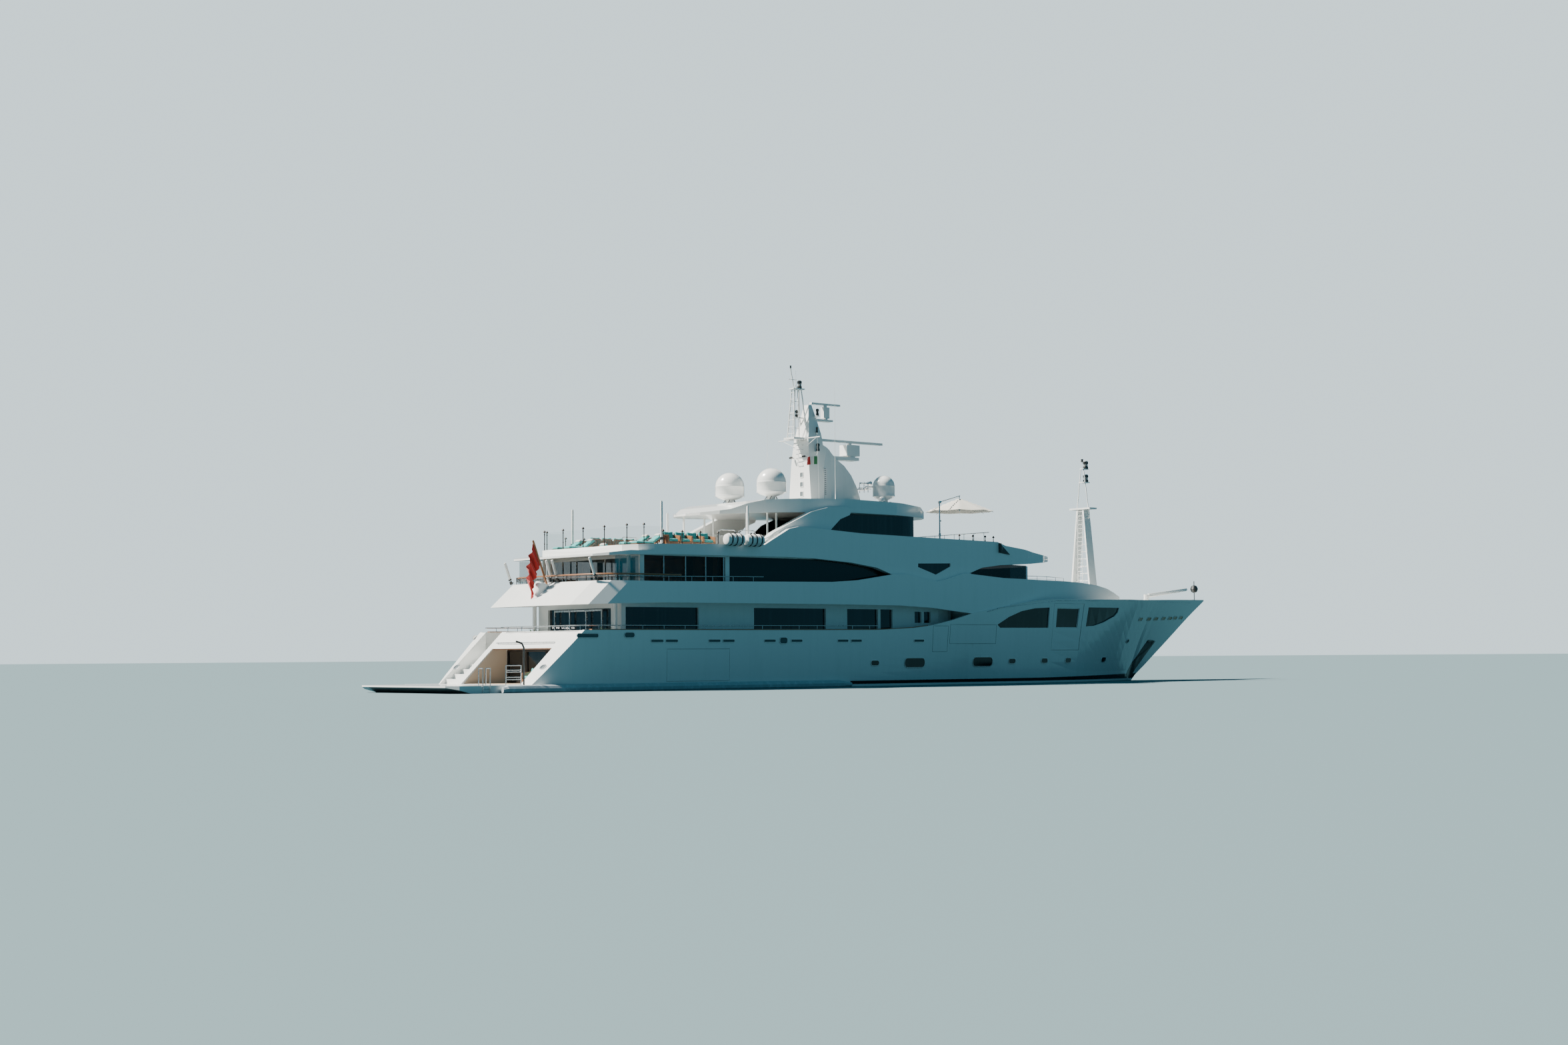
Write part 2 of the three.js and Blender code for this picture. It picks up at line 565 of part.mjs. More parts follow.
// Underwater gear: shafts with brackets, propellers, rudders, stabiliser fins
const SHAFT = { y: 2.5, z: -2.55, aft: -26.6, fore: -19.6, r: 0.11, end: 0.006 };
const PROP = { r: 0.92, hub: 0.24, length: 0.5, blades: 5 };
const RUDDER = { x: -29.0, z0: -3.1, z1: -1.45, boss: -1.3 };
for (const [name, side] of PORT_STARBOARD) {
  const y = side * SHAFT.y;
  const shaft = join(
    bar([SHAFT.aft, y, SHAFT.z], [SHAFT.fore, y, SHAFT.z + 0.3], SHAFT.r, 10),
    bar([SHAFT.aft + 0.1, y, SHAFT.z], [SHAFT.aft + 0.8, y, SHAFT.z + 0.03], 0.2, 10),
    [-1, 1].map((lean) =>
      loft([
        [
          [SHAFT.aft + 0.2, y - 0.04, SHAFT.z],
          [SHAFT.aft + 0.2, y + 0.04, SHAFT.z],
          [SHAFT.aft + 0.65, y + 0.04, SHAFT.z],
          [SHAFT.aft + 0.65, y - 0.04, SHAFT.z],
        ],
        [
          [SHAFT.aft + 0.3, y - 0.04 + lean * 0.7, -0.6],
          [SHAFT.aft + 0.3, y + 0.04 + lean * 0.7, -0.6],
          [SHAFT.aft + 0.75, y + 0.04 + lean * 0.7, -0.6],
          [SHAFT.aft + 0.75, y - 0.04 + lean * 0.7, -0.6],
        ],
      ]),
    ),
  );
  node("propeller_shaft_" + name, shaft.subtract(hullForm(GAP)), STEEL);

  const hubX = SHAFT.aft - SHAFT.end;
  const hub = join(
    bar([hubX - PROP.length, y, SHAFT.z], [hubX, y, SHAFT.z], PROP.hub, 12),
    bar([hubX - PROP.length - 0.3, y, SHAFT.z], [hubX - PROP.length + 0.01, y, SHAFT.z], 0.06, 12, PROP.hub),
  );
  const blades = steps(PROP.blades - 1).map((t) => {
    const a = t * (2 * Math.PI - (2 * Math.PI) / PROP.blades);
    const blade = loft(
      // radius, half-width, half-thickness, twist
      [
        [0.12, 0.2, 0.05, 1.0],
        [0.42, 0.33, 0.035, 0.8],
        [0.72, 0.38, 0.025, 0.55],
        [PROP.r, 0.18, 0.012, 0.4],
      ].map(([r, half, thick, twist]) =>
        [
          [-half, -thick],
          [half, -thick],
          [half, thick],
          [-half, thick],
        ].map(([u, v]) => {
          const along = u * Math.sin(twist) + v * Math.cos(twist);
          const round = u * Math.cos(twist) - v * Math.sin(twist);
          const py = r * Math.cos(a) - round * Math.sin(a);
          const pz = r * Math.sin(a) + round * Math.cos(a);
          return [hubX - PROP.length / 2 + along * side * 0.8, y + py, SHAFT.z + pz];
        }),
      ),
    );
    return blade;
  });
  node("propeller_" + name, join(hub, blades), BRONZE);

  const rudder = join(
    loft(
      [
        [RUDDER.z0, 0.85],
        [RUDDER.z1, 1],
      ].map(([z, k]) =>
        [
          [0.45, 0],
          [0.25, 0.09],
          [-0.3, 0.08],
          [-1.05, 0.015],
          [-1.05, -0.015],
          [-0.3, -0.08],
          [0.25, -0.09],
          [0.45, -0.004],
        ].map(([u, v]) => [RUDDER.x + u * k, y + v, z]),
      ),
    ),
    bar([RUDDER.x, y, RUDDER.z1 - 0.05], [RUDDER.x, y, RUDDER.boss - GAP], 0.09, 10),
  );
  node("rudder_" + name, rudder, WHITE);

  const FIN = { x: -6, y: 4.55, z: -2.0 };
  const fin = loft(
    [
      [0, 1],
      [1.7, 0.7],
    ].map(([out, k]) =>
      [
        [0.75, 0],
        [0.45, 0.11],
        [-0.75, 0.02],
        [-0.75, -0.02],
        [0.45, -0.11],
        [0.75, -0.005],
      ].map(([u, v]) => [
        FIN.x + u * k - out * 0.15,
        side * (FIN.y - 0.55 + out * 0.72),
        FIN.z - out * 0.55 + v * k,
      ]),
    ),
  );
  node("stabiliser_fin_" + name, fin.subtract(hullForm(GAP)), WHITE);
}

node("hull", hull(), WHITE);

// Plan outline of a house: aft end, side, and a rounded front, inset all round
function housePlan({ aft, side, shoulder, front, nose }, inset = 0) {
  const y = side - inset;
  const half = [
    [aft + inset, y],
    [shoulder, y],
    [shoulder + (front - shoulder) * 0.55, y - (side - nose) * 0.25],
    [shoulder + (front - shoulder) * 0.85, y - (side - nose) * 0.65],
    [front - inset, nose * 0.6],
  ];
  return [...half.map(([x, b]) => [x, -b]), ...half.reverse()];
}

const ring = (plan, inset, thick, z0, z1) =>
  upright(housePlan(plan, inset), z0, z1).subtract(upright(housePlan(plan, inset + thick), z0 - 1, z1 + 1));

// Main deck house, its windows: x0, x1, z0, z1
const MAIN_HOUSE = { aft: -25.4, side: HOUSE_Y, shoulder: -0.9, front: 0.85, nose: 3.6 };
const MAIN_WINDOWS = [
  [-25.1, -19.95, 3.2, 4.7],
  [-15.85, -10.27, 3.2, 4.72],
  [-8.56, -6.04, 3.2, 4.72],
  [-5.82, -4.82, 3.2, 4.72],
  [-2.94, -2.37, 3.9, 4.6],
  [-2.14, -1.57, 3.9, 4.6],
];
const houseTop = UPPER_SLAB - GAP;
const houseBottom = MAIN_DECK + GAP;
node(
  "main_deck_house",
  cut(
    ring(MAIN_HOUSE, 0, HOUSE_WALL, houseBottom, houseTop),
    MAIN_WINDOWS.map(([x0, x1, z0, z1]) => block(x0, x1, -6, 6, z0, z1)),
    block(-26, -25, -3.2, 3.2, MAIN_DECK + 0.12, 4.65),
  ),
  WHITE,
);
node(
  "main_deck_glass",
  ring(MAIN_HOUSE, HOUSE_WALL + GAP, GLASS, MAIN_DECK + 0.06, UPPER_SLAB - 0.06),
  DARK_GLASS,
);

// Plan of a deck wing: a bowed aft edge at X = aft, bulging aft by the square of y, out to the side
function wingPlan(aft, bow, side, corner, fore, inset = 0) {
  const y = side - inset;
  const edge = steps(4).map((t) => {
    const b = (y - corner) * t;
    return [aft + inset + bow * b * b, b];
  });
  const last = aft + inset + bow * y * y;
  edge.push([last + corner * 0.35, y - corner * 0.3]);
  edge.push([last + corner * 1.1, y]);
  fore.forEach(([x, b]) => edge.push([x, b - inset]));
  return [...edge.slice(1).map(([x, b]) => [x, -b]).reverse(), ...edge].reverse();
}

// The same prism raked: its outline moves forward by slope for each metre above foot
const raked = (points, z0, z1, slope, foot) =>
  upright(points, z0, z1).warp((v) => {
    v[0] += slope * (v[2] - foot);
  });

// Upper deck wing: side outline from the aft tip forward along the bottom, then back along the top
const UPPER_AFT = { tip: -29.0, tipZ: 4.78, rim: -27.45, rimZ: 6.14 };
const UPPER_BOTTOM = [
  [UPPER_AFT.tip, UPPER_AFT.tipZ],
  [-23.1, 4.94],
  [-10.7, UPPER_SLAB - 0.02],
  [-5.3, 4.94],
  [-2.5, 4.82],
  [-0.9, 4.66],
];
const UPPER_TOP = [
  [-8.7, 6.44],
  [-10.75, 6.3],
  [-23, UPPER_AFT.rimZ],
  [UPPER_AFT.rim, UPPER_AFT.rimZ],
];
// Seam that the upper wing and the sundeck wing share, going forward
const SEAM = [
  [-5.8, 6.85],
  [-4.7, 6.88],
  [-3.2, 6.6],
  [-2.05, 6.48],
  [-1.2, 6.64],
  [0.17, 7.0],
  [0.9, 7.04],
];
const WING_FORE = 0.9;
const shifted = (points, dz) => points.map(([x, z]) => [x, z + dz]);

const WING_SIDE = [
  [-6, 5.4],
  [WING_FORE, 5.36],
];
const UPPER_EDGE = [0.012, 5.4, 1.3];
const UPPER_RAKE = (UPPER_AFT.rim - UPPER_AFT.tip) / (UPPER_AFT.rimZ - UPPER_AFT.tipZ);
const UPPER_INNER = [[-6, 5.4], [3, 5.36]];
const upperSide = [
  ...UPPER_BOTTOM,
  [WING_FORE, 4.5],
  ...shifted(SEAM, -GAP).reverse(),
  ...UPPER_TOP,
];
const upperPillars = [-1, 1].map((s) =>
  bar([-25.75, s * 4.1, houseBottom], [-25.75, s * 4.1, 5.0], 0.12, 8),
);
node(
  "upper_deck_wing",
  join(
    cut(
      sideways(upperSide, -7, 7)
        .intersect(upright(wingPlan(UPPER_AFT.tip, ...UPPER_EDGE, WING_SIDE), 3, 9))
        .intersect(
          raked(
            wingPlan(UPPER_AFT.tip, ...UPPER_EDGE, [[-6, 5.4], [6, 5.4]]),
            3,
            9,
            UPPER_RAKE,
            UPPER_AFT.tipZ,
          ),
        ),
      upright(wingPlan(-27.3, ...UPPER_EDGE, UPPER_INNER, BULWARK), UPPER_DECK, 9),
      upright(wingPlan(-28.5, ...UPPER_EDGE, UPPER_INNER, BULWARK), 3, UPPER_SLAB),
      hullForm(GAP),
    ),
    upperPillars,
  ),
  WHITE,
);

// Upper deck house
const UPPER_HOUSE = { aft: -24.5, side: 4.75, shoulder: -1.2, front: 0.6, nose: 4.6 };
node(
  "upper_deck_house",
  cut(
    ring(UPPER_HOUSE, 0, HOUSE_WALL, UPPER_DECK + GAP, SUN_SLAB - GAP),
    block(-24.2, -18.4, -6, 6, 5.75, 7.62),
    block(-18.1, -5.2, -6, 6, 5.75, 7.66),
    block(-25, -24, -4.3, 4.3, UPPER_DECK + 0.12, 7.5),
  ),
  WHITE,
);
node(
  "upper_deck_glass",
  ring(UPPER_HOUSE, HOUSE_WALL + GAP, GLASS, UPPER_DECK + 0.06, SUN_SLAB - 0.06),
  DARK_GLASS,
);

// Raised foredeck trunk: side outline and plan
const TRUNK_TOP = [
  [19.5, 5.0],
  [19.3, 5.35],
  [18.6, 5.78],
  [17.4, 6.12],
  [16.2, 6.38],
  [14.9, 6.56],
  [13.0, 6.68],
  [10.9, 6.74],
  [7.28, 6.76],
  [3.93, 6.8],
  [WING_FORE + GAP, 7.0],
];
const TRUNK_PLAN = [
  [WING_FORE + GAP, 5.34],
  [3.8, 5.24],
  [6.9, 4.95],
  [10.1, 4.3],
  [13.5, 3.6],
  [16.5, 2.9],
  [18.4, 2.2],
  [19.3, 1.2],
];
const mirrored = (half) => [...half.map(([x, y]) => [x, -y]), ...[...half].reverse()];
const BRIDGE = { aft: 1.2, side: 4.4, shoulder: 5.4, front: 9.2, nose: 2.0 };
const bridgeRoom = (aft) =>
  housePlan({
    aft,
    side: BRIDGE.side + 0.05,
    shoulder: BRIDGE.shoulder + 0.03,
    front: BRIDGE.front + 0.1,
    nose: BRIDGE.nose + 0.06,
  });
const SHEER_LINE = HULL_STATIONS.filter(([x]) => x > -1 && x < 26).map(([x, , , , sheer]) => [x, sheer + GAP]);
const belowSheer = sideways([[0, 3], ...SHEER_LINE, [25.9, 3]], -7, 7);
node(
  "foredeck_trunk",
  cut(
    sideways([[WING_FORE + GAP, 4.4], [19.5, 4.4], ...TRUNK_TOP], -7, 7).intersect(
      upright(mirrored(TRUNK_PLAN), 4.0, 9),
    ),
    belowSheer.subtract(foreWell(-GAP)),
    join([-1, 1].map((side) => block(5, 9, side * 4.5, side * 7, 4, 5.02))),
    upright(bridgeRoom(-1), UPPER_DECK, 9),
  ),
  WHITE,
);

// Bridge glass: a ring standing in the trunk
node("bridge_glass", ring(BRIDGE, 0, GLASS * 1.5, UPPER_DECK + GAP, 7.72), DARK_GLASS);

// Sundeck wing with the visor over the bridge
const SUN_BOTTOM = [
  [-27.4, 7.52],
  [-25.6, 7.6],
  [-23, 7.67],
  [-14.2, 7.72],
  [-12.0, 7.68],
  [-9.1, 7.5],
  [-7.0, 7.23],
];
const VISOR_BOTTOM = [
  [2.1, 7.43],
  [3.8, 7.63],
  [7.06, 7.8],
  [12.1, 8.22],
];
const SUN_TOP = [
  [12.1, 8.32],
  [10.2, 8.38],
  [8.6, 8.42],
  [7.4, 8.55],
  [6.2, 8.73],
  [4.4, 8.9],
  [3.6, 9.12],
  [0.76, 9.16],
  [-3.6, 9.22],
  [-8.2, 9.3],
  [-10.8, 9.44],
  [-13.2, 9.56],
  [-13.96, 9.4],
  [-15.2, 8.75],
  [-15.85, 8.4],
  [-20.1, 8.33],
  [-23, 8.26],
  [-25.25, 8.2],
  [-25.5, 7.85],
  [-27.4, 7.62],
];
const SUN_FORE = [
  [-6, 5.25],
  [1, 5.2],
  [4, 5.05],
  [6.6, 4.8],
  [8.6, 4.3],
  [10.1, 3.3],
  [11.2, 2.1],
  [11.9, 1.0],
  [12.1, 0.4],
];
const sunSide = [...SUN_BOTTOM, ...SEAM, ...VISOR_BOTTOM, ...SUN_TOP];
// The slab's lip reaches further aft than the bulwark that stands on it
const SUN_AFT = { lip: -27.4, bulwark: -25.4, well: -25.2, lipZ: 7.85 };
const SUN_EDGE = [0.01, 5.25, 1.2];
const sunPlan = wingPlan(SUN_AFT.lip, ...SUN_EDGE, SUN_FORE);
const sunBulwarkPlan = wingPlan(SUN_AFT.bulwark, ...SUN_EDGE, SUN_FORE);
const TRIANGLE = [
  [-3.56, 7.57],
  [-0.75, 7.64],
  [-0.75, 7.45],
  [-2.03, 6.9],
  [-3.57, 7.35],
];
const sunPillars = [-1, 1].map((s) =>
  bar([-24.95, s * 4.3, UPPER_DECK + GAP], [-24.95, s * 4.3, 7.8], 0.11, 8),
);
node(
  "sundeck_wing",
  join(
    cut(
      sideways(sunSide, -7, 7).intersect(
        join(upright(sunPlan, 5, SUN_AFT.lipZ), upright(sunBulwarkPlan, SUN_AFT.lipZ - 0.1, 12)),
      ),
      // Sundeck well aft, under the hardtop, and forward
      upright(wingPlan(SUN_AFT.well, ...SUN_EDGE, [[-14.4, 5.25]], BULWARK), SUN_DECK, 12),
      block(-14.5, -2.0, -3.75, 3.75, SUN_DECK, 12),
      upright(mirrored([[-2.1, 4.95], [1, 4.95], [3.6, 4.8], [3.6, 0.5]]), SUN_DECK, 12),
      // Room for the upper deck house under the slab
      block(-24.6, 1.2, -4.8, 4.8, 5, SUN_SLAB),
      upright(bridgeRoom(1.1), 5, SUN_SLAB),
      sideways(TRIANGLE, -7, 7).subtract(block(-5, 1, -5.02, 5.02, 6, 9)),
    ),
    sunPillars,
  ),
  WHITE,
);
for (const [name, side] of PORT_STARBOARD)
  node(
    "triangle_window_" + name,
    sideways(
      TRIANGLE.map(([x, z]) => [-2.1 + (x + 2.1) * 0.995, 7.3 + (z - 7.3) * 0.99]),
      side * (5.02 + GAP),
      side * 5.12,
    ),
    DARK_GLASS,
  );

// Sundeck house with its glass, and the arch that carries the hardtop
const HARDTOP_Z = 10.6;
const SUN_HOUSE = { aft: -10.4, side: 3.7, shoulder: -3.4, front: -2.1, nose: 3.4 };
const sunGlassSide = [
  [-11, 7.96],
  [-11, 9.4],
  [-9.7, 9.55],
  [-8.9, 10.2],
  [-7.9, HARDTOP_Z - GAP],
  [-1, HARDTOP_Z - GAP],
  [-1, 7.96],
];
node(
  "sundeck_house_glass",
  ring(SUN_HOUSE, 0.02, 0.1, SUN_DECK + GAP, HARDTOP_Z - GAP).intersect(sideways(sunGlassSide, -7, 7)),
  DARK_GLASS,
);
const ARCH = [
  [-15.7, 8.5],
  [-14.84, 9.16],
  [-13.39, 9.84],
  [-11.92, 10.5],
  [-10.6, 10.82],
  [-9.35, 10.92],
  [-8.6, 10.86],
  [-8.85, 10.42],
  [-9.61, 10.14],
  [-10.36, 9.49],
  [-10.5, 9.3],
  [-13.2, 9.3],
  [-15.2, 8.45],
  [-15.7, 8.3],
];

// Hardtop
const HARDTOP_TOP = [
  [1.9, 10.95],
  [-1.4, 11.25],
  [-3.7, 11.38],
  [-8.5, 11.42],
  [-12.4, 11.32],
  [-14.6, 11.2],
  [-15.6, 10.95],
  [-16.4, 10.62],
  [-18.0, 10.4],
];
const HARDTOP_PLAN = [
  [-18.0, 0.4],
  [-17.6, 1.3],
  [-16.9, 2.3],
  [-15.9, 3.1],
  [-14.6, 3.8],
  [-12.5, 4.3],
  [-9.0, 4.6],
  [-4.4, 4.25],
  [-1.6, 3.4],
  [0.2, 1.8],
  [1.2, 0.5],
];
const sunRim = sideways(shifted(sunSide, GAP), -7, 7);
const sunBody = sunRim.subtract(block(-20, 0, -3.75, 3.75, 7, 12));
const archSheets = [-1, 1].map((s) => sideways(ARCH, s * 4.35, s * 4.85));
const hardtopSide = [
  [-18.0, 10.28],
  [-14.0, 10.45],
  [-8.2, HARDTOP_Z],
  [-1.4, HARDTOP_Z],
  [1.9, 10.72],
  ...HARDTOP_TOP,
];
node(
  "hardtop",
  join(
    sideways(hardtopSide, -7, 7).intersect(upright(mirrored(HARDTOP_PLAN), 9, 12)),
    archSheets,
    [-1, 1].flatMap((s) =>
      [-15.5, -13.9, -13.2].map((x) => bar([x, s * 3.1, SUN_DECK + GAP], [x, s * 3.1, 10.5], 0.06, 8)),
    ),
  ).subtract(sunBody),
  WHITE,
);

// Mast: base, body leaf, platforms
const roofTool = sideways(shifted(hardtopSide, GAP), -7, 7);
const MAST_FOOT = 11.0;
const MAST_SIDE = [
  [-8.72, MAST_FOOT],
  [-8.7, 13.9],
  [-8.58, 15.5],
  [-8.4, 16.3],
  [-8.15, 17.65],
  [-7.9, 17.65],
  [-7.63, 16.5],
  [-7.5, 15.9],
  [-7.42, 15.1],
  [-6.78, 14.82],
  [-6.1, 14.3],
  [-5.31, 13.91],
  [-4.69, 13.34],
  [-4.17, 12.56],
  [-3.83, 11.7],
  [-3.6, MAST_FOOT],
];
// Half-breadth of the mast by height, and its plan that narrows to a leaf
const mastTaper = loft(
  [
    [MAST_FOOT, 1.12],
    [12.9, 0.95],
    [14.0, 0.85],
    [15.5, 0.7],
    [16.4, 0.5],
    [17.69, 0.2],
  ].map(([z, y]) => [
    [-10.5, -y, z],
    [-3, -y, z],
    [-3, y, z],
    [-10.5, y, z],
  ]),
);
const MAST_PLAN = [
  [-9.2, 1.3],
  [-7.9, 1.3],
  [-7.4, 0.85],
  [-6.6, 0.55],
  [-5.2, 0.34],
  [-3.4, 0.2],
];
// Radars: name, x and z of the foot, length and height of the scanner bar
const RADARS = [
  ["lower", -4.55, 14.5, 5.5, 0.15],
  ["upper", -6.6, 16.8, 2.4, 0.11],
];
const pedestals = RADARS.map(([, x, z, length]) =>
  join(
    bar([x, 0, z - 0.1], [x, 0, z + 0.2], length * 0.07, 12, length * 0.06),
    block(x - length * 0.1, x + length * 0.1, -length * 0.065, length * 0.065, z + 0.1, z + 0.8),
  ),
);
node(
  "mast",
  join(
    sideways(MAST_SIDE, -3, 3).intersect(mastTaper).intersect(upright(mirrored(MAST_PLAN), 10, 18)),
    block(-7.2, -4.1, -0.4, 0.4, 14.3, 14.5),
    block(-8.0, -6.15, -0.25, 0.25, 16.68, 16.8),
    block(-9.6, -8.5, -0.5, 0.5, 15.4, 15.52),
    pedestals,
  ).subtract(roofTool),
  WHITE,
);
// Tubular frame aft of the mast head, on the aft platform: legs, rungs, head plate and pole
const FRAME = { foot: 15.52, head: 18.6 };
node(
  "antenna_frame",
  join(
    [-1, 1].flatMap((s) => [
      bar([-9.42, s * 0.36, FRAME.foot - 0.05], [-9.22, s * 0.12, FRAME.head], 0.04),
      bar([-8.5, s * 0.24, 16.9], [-8.66, s * 0.12, FRAME.head], 0.04),
      bar([-8.3, s * 0.34, 16.0], [-8.5, s * 0.24, 16.92], 0.04),
      bar([-9.05, s * 0.36, FRAME.foot - 0.05], [-8.95, s * 0.12, FRAME.head], 0.03),
    ]),
    steps(6).map((t) => {
      const z = FRAME.foot + 0.25 + t * 2.6;
      const k = (z - FRAME.foot) / (FRAME.head - FRAME.foot);
      return bar([-9.42 + 0.2 * k, -0.36 + 0.24 * k, z], [-9.42 + 0.2 * k, 0.36 - 0.24 * k, z], 0.025, 5);
    }),
    [16.1, 17.0, 17.8].flatMap((z) => {
      const k = (z - FRAME.foot) / (FRAME.head - FRAME.foot);
      return [-1, 1].map((s) =>
        bar([-9.42 + 0.2 * k, s * (0.36 - 0.24 * k), z], [-9.05 + 0.1 * k, s * (0.36 - 0.24 * k), z], 0.025, 5),
      );
    }),
    block(-9.36, -8.44, -0.22, 0.22, FRAME.head - 0.03, FRAME.head + 0.04),
    bar([-9.15, 0, FRAME.head], [-9.42, 0, 19.88], 0.035),
    bar([-9.6, 0, 19.18], [-8.95, 0, 19.18], 0.025),
    bar([-8.7, 0, FRAME.head], [-8.7, 0, 19.1], 0.12, 8),
  )
    .subtract(sideways(shifted(MAST_SIDE, GAP), -3, 3))
    .subtract(block(-10, -8.5, -1, 1, 15, FRAME.foot + GAP)),
  WHITE,
);

for (const [name, x, z, length, thick] of RADARS)
  node(
    "radar_scanner_" + name,
    join(
      bar([x, 0, z + 0.8 + GAP], [x, 0, z + 0.95], 0.12, 10),
      block(x - length / 2, x + length / 2, -0.11, 0.11, z + 0.93, z + 0.93 + thick),
    ),
    WHITE,
  );

// Domes: name, x, y, radius, foot z, height
const DOMES = [
  ["dome_aft_starboard", -12.7, -2.05, 0.85, 11.34, 1.95],
  ["dome_aft_port", -12.7, 2.05, 0.85, 11.34, 1.95],
  ["dome_forward", -3.0, -1.5, 0.68, 11.38, 1.95],
];
for (const [name, x, y, r, foot, height] of DOMES) {
  const top = foot + height;
  const cap = steps(6).map((t) => [
    r * Math.cos((t * Math.PI) / 2),
    top - r + r * Math.sin((t * Math.PI) / 2),
  ]);
  cap[cap.length - 1][0] = 0;
  node(
    name,
    turned(
      [
        [0, foot - 0.4],
        [r * 0.5, foot - 0.4],
        [r * 0.55, top - 1.95 * r],
        [r * 0.82, top - 1.8 * r],
        [r * 0.98, top - 1.4 * r],
        ...cap,
      ],
      x,
      y,
    ).subtract(roofTool),
    WHITE,
  );
}

// Foremast on the trunk: an A-frame across the ship with rungs, a tubular frame on it and two lamps
const FOREMAST = { x: 17.2, foot: 5.9, head: 12.05, spread: 0.9, top: 0.27 };
const legY = (z) =>
  FOREMAST.spread + ((FOREMAST.top - FOREMAST.spread) * (z - FOREMAST.foot)) / (FOREMAST.head - FOREMAST.foot);
const legs = [-1, 1].map((s) =>
  loft(
    [
      [FOREMAST.foot, 0.37, 0.07],
      [FOREMAST.head, 0.3, 0.06],
    ].map(([z, half, thick]) => [
      [FOREMAST.x - half, s * legY(z) - thick, z],
      [FOREMAST.x + half, s * legY(z) - thick, z],
      [FOREMAST.x + half, s * legY(z) + thick, z],
      [FOREMAST.x - half, s * legY(z) + thick, z],
    ]),
  ),
);
const braces = steps(9).map((t) => {
  const z = 7.0 + t * 4.6;
  return bar([FOREMAST.x, -legY(z), z], [FOREMAST.x, legY(z), z], 0.035, 5);
});
const LAMPS = { x: 17.55, low: [13.95, 14.5], high: [14.9, 15.45], r: 0.15 };
const trunkTool = sideways([[10, 4], [20, 4], ...TRUNK_TOP.slice(0, 8)].map(([x, z]) => [x, z + GAP]), -3, 3);
node(
  "foremast",
  join(
    legs,
    braces,
    block(16.85, 17.6, -0.95, 0.95, FOREMAST.head - 0.05, FOREMAST.head + 0.06),
    [-1, 1].map((s) =>
      join(
        bar([FOREMAST.x, s * 0.62, 11.4], [FOREMAST.x, s * 0.12, 14.95], 0.035),
        bar([FOREMAST.x, s * 0.2, 11.4], [FOREMAST.x, s * 0.64, 11.4], 0.035),
      ),
    ),
    block(FOREMAST.x - 0.1, LAMPS.x + 0.15, -0.15, 0.15, LAMPS.high[0] - 0.06, LAMPS.high[0]),
    block(FOREMAST.x - 0.1, LAMPS.x + 0.15, -0.26, 0.26, LAMPS.low[0] - 0.06, LAMPS.low[0]),
    [LAMPS.low, LAMPS.high].map(([z0, z1]) => bar([LAMPS.x, 0, z0 - 0.01], [LAMPS.x, 0, z1], LAMPS.r, 10)),
  ).subtract(trunkTool),
  WHITE,
);

// Foredeck: bow boom in its stand, jackstaff with its ball
const BOOM = { pivot: [22.7, -0.9, 5.95], tip: [27.8, -0.35, 6.53] };
node(
  "bow_boom_stand",
  join(
    bar([BOOM.pivot[0], BOOM.pivot[1], FORE_DECK + GAP], [BOOM.pivot[0], BOOM.pivot[1], 5.7], 0.14, 10),
    bar([BOOM.pivot[0], BOOM.pivot[1], 5.65], [BOOM.pivot[0], BOOM.pivot[1], 5.78], 0.2, 10),
  ),
  WHITE,
);
node(
  "bow_boom",
  join(
    bar([BOOM.pivot[0], BOOM.pivot[1], 5.78 + GAP], [BOOM.pivot[0], BOOM.pivot[1], 6.1], 0.18, 10),
    bar(BOOM.pivot, BOOM.tip, 0.12, 8, 0.06),
  ),
  WHITE,
);
const JACK = { x: 29.05, foot: alongHull(29.05, 4) + 2 * GAP, head: 7.18 };
node(
  "jackstaff",
  join(
    bar([JACK.x, 0, JACK.foot], [JACK.x, 0, JACK.head], 0.03, 8),
    turned([[0, 6.3], [0.2, 6.38], [0.29, 6.6], [0.2, 6.82], [0, 6.9]], JACK.x, 0, 12),
  ),
  BLACK,
);

// Flagstaff raked aft on the upper deck bulwark, with the ensign hanging from it
const STAFF = { foot: [-27.57, 0, 5.95], head: [-28.53, 0, 8.52] };
const upperRim = sideways(shifted(upperSide, GAP), -7, 7);
node("flagstaff", bar(STAFF.foot, STAFF.head, 0.06, 8).subtract(upperRim), BLACK);
const lean = (STAFF.head[0] - STAFF.foot[0]) / (STAFF.head[2] - STAFF.foot[2]);
const HOIST = 0.0612; // from the staff's middle to the ensign's edge
const staffX = (z) => STAFF.foot[0] + lean * (z - STAFF.foot[2]);
node(
  "ensign",
  sideways(
    [
      [staffX(8.4) - HOIST, 8.4],
      [staffX(7.3) - HOIST, 7.3],
      [-28.45, 6.3],
      [-28.62, 5.3],
      [-29.0, 5.1],
      [-29.0, 6.9],
      [-28.85, 8.2],
    ],
    -0.1,
    0.1,
  ),
  RED,
);

